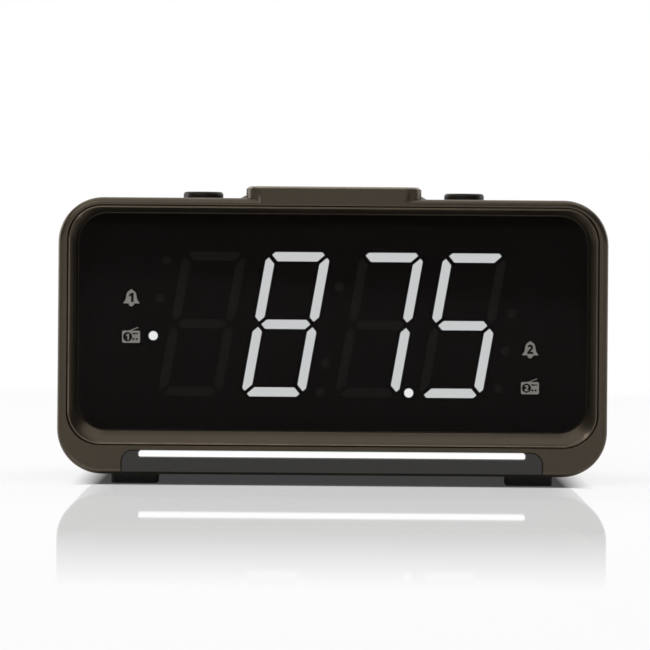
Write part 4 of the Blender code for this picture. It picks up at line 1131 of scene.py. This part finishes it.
def build_cover_screws():
    """Pan-head screws with a cross recess."""
    for index, (x, z) in enumerate(corner_bosses()):
        name = f"cover_screw_{index + 1}"
        low, high = node_box(name)
        crown = 0.5 * MM
        base = high.y - 1.2 * MM
        profile = [(0, high.y)]
        for share in (0.3, 0.55, 0.75, 0.9, 1.0):
            drop = crown * share**3
            profile.append((SCREW_HEAD_RADIUS * share, high.y - drop))
        profile += [(SCREW_HEAD_RADIUS, base), (SHANK_RADIUS, base)]
        profile += [(SHANK_RADIUS, low.y + SHANK_RADIUS), (0, low.y)]
        screw = solid(f"{name}_head", add_turned, profile, (x, 0, z), BACKWARDS, HOLE_STEPS)
        bm = bmesh.new()
        for size in (CROSS_SIZE, CROSS_SIZE[::-1]):
            wide = rounded_rect(*size, 0.1 * MM, (x, z), 3)
            tight = rounded_rect(size[0] * 0.6, size[1] * 0.6, 0.05 * MM, (x, z), 3)
            back = upright(tight, high.y - 0.9 * MM)
            add_rings(bm, [back, upright(wide, high.y + 0.1 * MM)])
        combine(screw, bm, "DIFFERENCE")
        finish(screw, "steel", [name])


def build_dc_jack():
    """The power inlet: a square shell with a round well around its pin."""
    low, high = node_box("dc_jack")
    middle = (low + high) / 2
    width = 2 * jack_half_width()
    tight = width - 0.6 * MM
    nose = rounded_rect(width, width, 0.4 * MM, (middle.x, middle.z), 6)
    small = rounded_rect(tight, tight, 0.2 * MM, (middle.x, middle.z), 6)
    levels = [(small, high.y), (nose, high.y - 0.3 * MM), (nose, low.y)]
    rings = [upright(*level) for level in levels]
    jack = solid("dc_inlet", add_rings, rings)
    bottom = SEAM - 8 * MM
    pin_end = high.y - MM
    well = [(0, REAR + MM), (JACK_BORE + 0.5 * MM, REAR + MM), (JACK_BORE + 0.4 * MM, high.y)]
    well += [(JACK_BORE, high.y - 0.4 * MM), (JACK_BORE, bottom), (JACK_PIN, bottom)]
    well += [(JACK_PIN, pin_end - 0.3 * MM), (JACK_PIN - 0.3 * MM, pin_end), (0, pin_end)]
    cut(jack, add_turned, well, (middle.x, 0, middle.z), BACKWARDS, HOLE_STEPS)
    finish(jack, "black", ["dc_jack"])


def build_antenna_gland():
    low, high = node_box("antenna_gland")
    middle = (low + high) / 2
    rim = 0.35 * MM
    flange = GLAND_RADIUS + 1.2 * MM
    profile = [(GLAND_BORE, low.y), (flange, low.y), (flange, low.y + MM)]
    profile += [(GLAND_RADIUS, low.y + MM)]
    profile += [(GLAND_RADIUS - inset, high.y - drop) for inset, drop in reversed(round_steps(rim))]
    profile += [(GLAND_BORE + inset, high.y - drop) for inset, drop in round_steps(rim)]
    centre = (middle.x, 0, middle.z)
    gland = solid("aerial_gland", add_turned, profile, centre, BACKWARDS, HOLE_STEPS)
    finish(gland, "rubber", ["antenna_gland"])


def build_battery_door():
    """A flush door with side rails, a ribbed grip and a moulded arrow."""
    low, high = DOOR_LOW, DOOR_HIGH
    wide = high.x
    half = wide - DOOR_RAIL_REACH + 0.1 * MM
    top = high.z
    shoulder = top - DOOR_RAIL
    outline = [(-half, low.z), (half, low.z), (half, shoulder), (wide, shoulder)]
    outline += [(wide, top), (-wide, top), (-wide, shoulder), (-half, shoulder)]
    door = solid("battery_door_panel", add_prism, outline, low.y, high.y, upright)
    bm = bmesh.new()
    for index in range(5):
        y = high.y - (3.0 + 1.6 * index) * MM
        groove = rounded_rect(16 * MM, 0.8 * MM, 0.39 * MM, (0, y), 4)
        add_prism(bm, groove, low.z - MM, low.z + 0.4 * MM, flat)
    y = high.y - 13.5 * MM
    arrow = [(-2.2 * MM, y - 1.2 * MM), (2.2 * MM, y - 1.2 * MM), (0.0, y + 1.8 * MM)]
    add_prism(bm, arrow, low.z - MM, low.z + 0.3 * MM, flat)
    combine(door, bm, "DIFFERENCE")
    soften(door)
    finish(door, "bronze", ["battery_door"], "door")


def build_feet():
    """Rubber pads with shallow ribs along their treads."""
    for index in range(4):
        name = f"foot_{index + 1}"
        low, high = node_box(name)
        corners = top_corners(low, high)
        levels = [(inset, low.z + drop) for inset, drop in round_steps(0.5 * MM, 5)]
        rings = [
            flat(box_outline(corners, FOOT_RADIUS, -inset, 8), z)
            for inset, z in levels + [(0.0, high.z)]
        ]
        foot = solid(f"{name}_pad", add_rings, rings)
        bm = bmesh.new()
        middle = (low + high) / 2
        for rib in (-1.5, -0.5, 0.5, 1.5):
            y = middle.y + rib * 1.7 * MM
            groove = rounded_rect(high.x - low.x - 3 * MM, 0.6 * MM, 0.29 * MM, (middle.x, y), 4)
            add_prism(bm, groove, low.z - MM, low.z + 0.25 * MM, flat)
        combine(foot, bm, "DIFFERENCE")
        finish(foot, "rubber", [name])


def dress_inner_nodes():
    """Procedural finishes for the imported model's own inner parts."""
    for part in frame["record"]["subparts"]:
        item = frame["nodes"][part["node"]]
        if part["material_slot"] in SLOT_FINISHES:
            item.data.materials.clear()
            item.data.materials.append(MATERIALS[SLOT_FINISHES[part["material_slot"]]])


build_housing()
build_rear_cover()
build_front_bezel()
build_window()
build_night_light()
build_display()
build_icons()
build_snooze_key()
build_round_button("round_button_left", "left_button")
build_round_button("round_button_right", "right_button")
build_key_island()
build_function_keys()
build_cover_screws()
build_dc_jack()
build_antenna_gland()
build_battery_door()
build_feet()
dress_inner_nodes()


# Stage, light and camera

VIEW_WIDTH = 201.75 * MM
VIEW_DISTANCE = 1.0
VIEW_CENTRE = (-2.9 * MM, 49.9 * MM)
EYE_HEIGHT = 78.0 * MM
EYE_ROLL = math.radians(0.45)
STAGE_REACH = 4.0
STAGE_THICKNESS = 20 * MM
BACKDROP_Y = 1.6
AMBIENT = 0.05

# The table: what it gives off by itself, and the painted shadow under the cabinet, a dark band that
# barely glows
TABLE_COLOUR = (0.9, 0.9, 0.9)
TABLE_GLOW = 0.8
GLOW_REACH = (0.3, 0.6)
SHADE_COLOUR = (0.12, 0.115, 0.11)
SHADE_GLOW = 0.05
SHADE_HALF_WIDTH = 72.0 * MM
SHADE_FADE = 9.5 * MM
SHADE_REAR_FADE = 4 * MM

# Where the table's gloss fades: in front, from the front face back, sideways and at the rear
TABLE_GLOSS = 0.36
GLOSS_FRONT = (FRONT - 0.29, FRONT - 0.15)
GLOSS_BEHIND = 0.3
GLOSS_SIDE = (0.12, 0.25)
GLOSS_REAR = (0.15, 0.3)

# Lamps: name, place, the height on the Z axis they aim at, size, and power
LAMPS = (
    ("overhead", (0.0, 0.0, 1.2), 0.0, (2.0, 1.6), 11.0),
    ("front_card", (-0.6, -1.3, 1.0), 0.05, (1.4, 0.6), 6.4),
    ("left_card", (-0.9, 0.3, 0.3), 0.05, (0.4, 0.5), 2.5),
    ("right_card", (0.9, 0.3, 0.3), 0.05, (0.4, 0.5), 1.2),
    ("low_card", (0.0, -1.3, 0.15), 0.05, (1.0, 0.2), 0.3),
)


def stage_material():
    """A pale table with a painted shadow under the cabinet, glossy only around its front."""
    nodes = Nodes("pale_table", bare=True)
    matt = nodes.add("ShaderNodeBsdfDiffuse")
    gloss = nodes.add("ShaderNodeBsdfGlossy", {"Color": (1.0, 1.0, 1.0, 1.0), "Roughness": 0.03})
    glow = nodes.add("ShaderNodeEmission")
    axes = nodes.add("ShaderNodeSeparateXYZ")
    nodes.join(nodes.place, axes.inputs[0])
    length = nodes.add("ShaderNodeVectorMath", operation="LENGTH")
    nodes.join(nodes.place, length.inputs[0])
    y = axes.outputs["Y"]
    across = nodes.math("ABSOLUTE", axes.outputs["X"], 0.0)

    # Painted shadow: darker colour, little glow and no gloss under the cabinet, fading out past its
    # sides and rear
    side = nodes.spread(across, 0.0, 1.0, SHADE_HALF_WIDTH, SHADE_HALF_WIDTH + SHADE_FADE)
    depth = nodes.math("ABSOLUTE", y, 0.0)
    depth = nodes.spread(depth, 0.0, 1.0, REAR, REAR + SHADE_REAR_FADE)
    shade = nodes.math("MAXIMUM", side, depth)
    nodes.join(nodes.blend(shade, SHADE_COLOUR, TABLE_COLOUR), matt.inputs["Color"])
    near = nodes.spread(shade, SHADE_GLOW, TABLE_GLOW, 0.0, 1.0)
    away = nodes.spread(length.outputs["Value"], 0.0, 1.0, *GLOW_REACH)
    lit = nodes.mix_shaders(nodes.math("MAXIMUM", near, away), matt, glow)

    shine = nodes.spread(y, 0.0, TABLE_GLOSS, *GLOSS_FRONT)
    behind = nodes.spread(y, 1.0, GLOSS_BEHIND, FRONT, FRONT + 0.02)
    beside = nodes.spread(across, 1.0, 0.0, *GLOSS_SIDE)
    beyond = nodes.spread(y, 1.0, 0.0, *GLOSS_REAR)
    for limit in (shade, behind, beside, beyond):
        shine = nodes.math("MULTIPLY", shine, limit)
    whole = nodes.mix_shaders(shine, lit, gloss)
    nodes.join(whole.outputs[0], nodes.output.inputs["Surface"])
    return nodes.material


def backdrop_material():
    nodes = Nodes("white_backdrop", bare=True)
    glow = nodes.add("ShaderNodeEmission")
    nodes.join(glow.outputs[0], nodes.output.inputs["Surface"])
    return nodes.material


def build_stage():
    reach = STAGE_REACH
    low, high = (-reach, -reach, -STAGE_THICKNESS), (reach, reach, 0.0)
    table = solid("table_top", add_box, low, high)
    table.data.materials.append(stage_material())
    low, high = (-reach, BACKDROP_Y, -0.5), (reach, BACKDROP_Y + STAGE_THICKNESS, reach)
    backdrop = solid("backdrop", add_box, low, high)
    backdrop.data.materials.append(backdrop_material())


def add_lamp(name, place, aim_height, size, power):
    data = bpy.data.lights.new(name, "AREA")
    data.shape = "RECTANGLE"
    data.size, data.size_y = size
    data.energy = power
    lamp = linked(name, data)
    lamp.location = place
    aim = Vector((0.0, 0.0, aim_height)) - Vector(place)
    lamp.rotation_euler = aim.to_track_quat("-Z", "Y").to_euler()


def build_light():
    """The lamps, and a world that is white to the camera but dim to every surface."""
    world = bpy.data.worlds.new("studio")
    bpy.context.scene.world = world
    world.use_nodes = True
    tree = world.node_tree
    background = tree.nodes["Background"]
    background.inputs["Color"].default_value = (1.0, 1.0, 1.0, 1.0)
    path = tree.nodes.new("ShaderNodeLightPath")
    level = tree.nodes.new("ShaderNodeMapRange")
    level.inputs["To Min"].default_value = AMBIENT
    level.inputs["To Max"].default_value = 1.0
    tree.links.new(path.outputs["Is Camera Ray"], level.inputs["Value"])
    tree.links.new(level.outputs["Result"], background.inputs["Strength"])
    for lamp in LAMPS:
        add_lamp(*lamp)


def build_camera():
    data = bpy.data.cameras.new("camera")
    data.sensor_width = 36.0
    data.lens = 36.0 * VIEW_DISTANCE / VIEW_WIDTH
    data.shift_y = (VIEW_CENTRE[1] - EYE_HEIGHT) / VIEW_WIDTH
    data.clip_start, data.clip_end = 0.05, 20.0
    camera = linked("camera", data)
    lean_x = (VIEW_CENTRE[1] - EYE_HEIGHT) * math.sin(EYE_ROLL)
    camera.location = (VIEW_CENTRE[0] - lean_x, FRONT - VIEW_DISTANCE, EYE_HEIGHT)
    camera.rotation_euler = (math.pi / 2, -EYE_ROLL, 0.0)
    bpy.context.scene.camera = camera


build_stage()
build_light()
build_camera()
bpy.context.scene.view_settings.view_transform = "Standard"
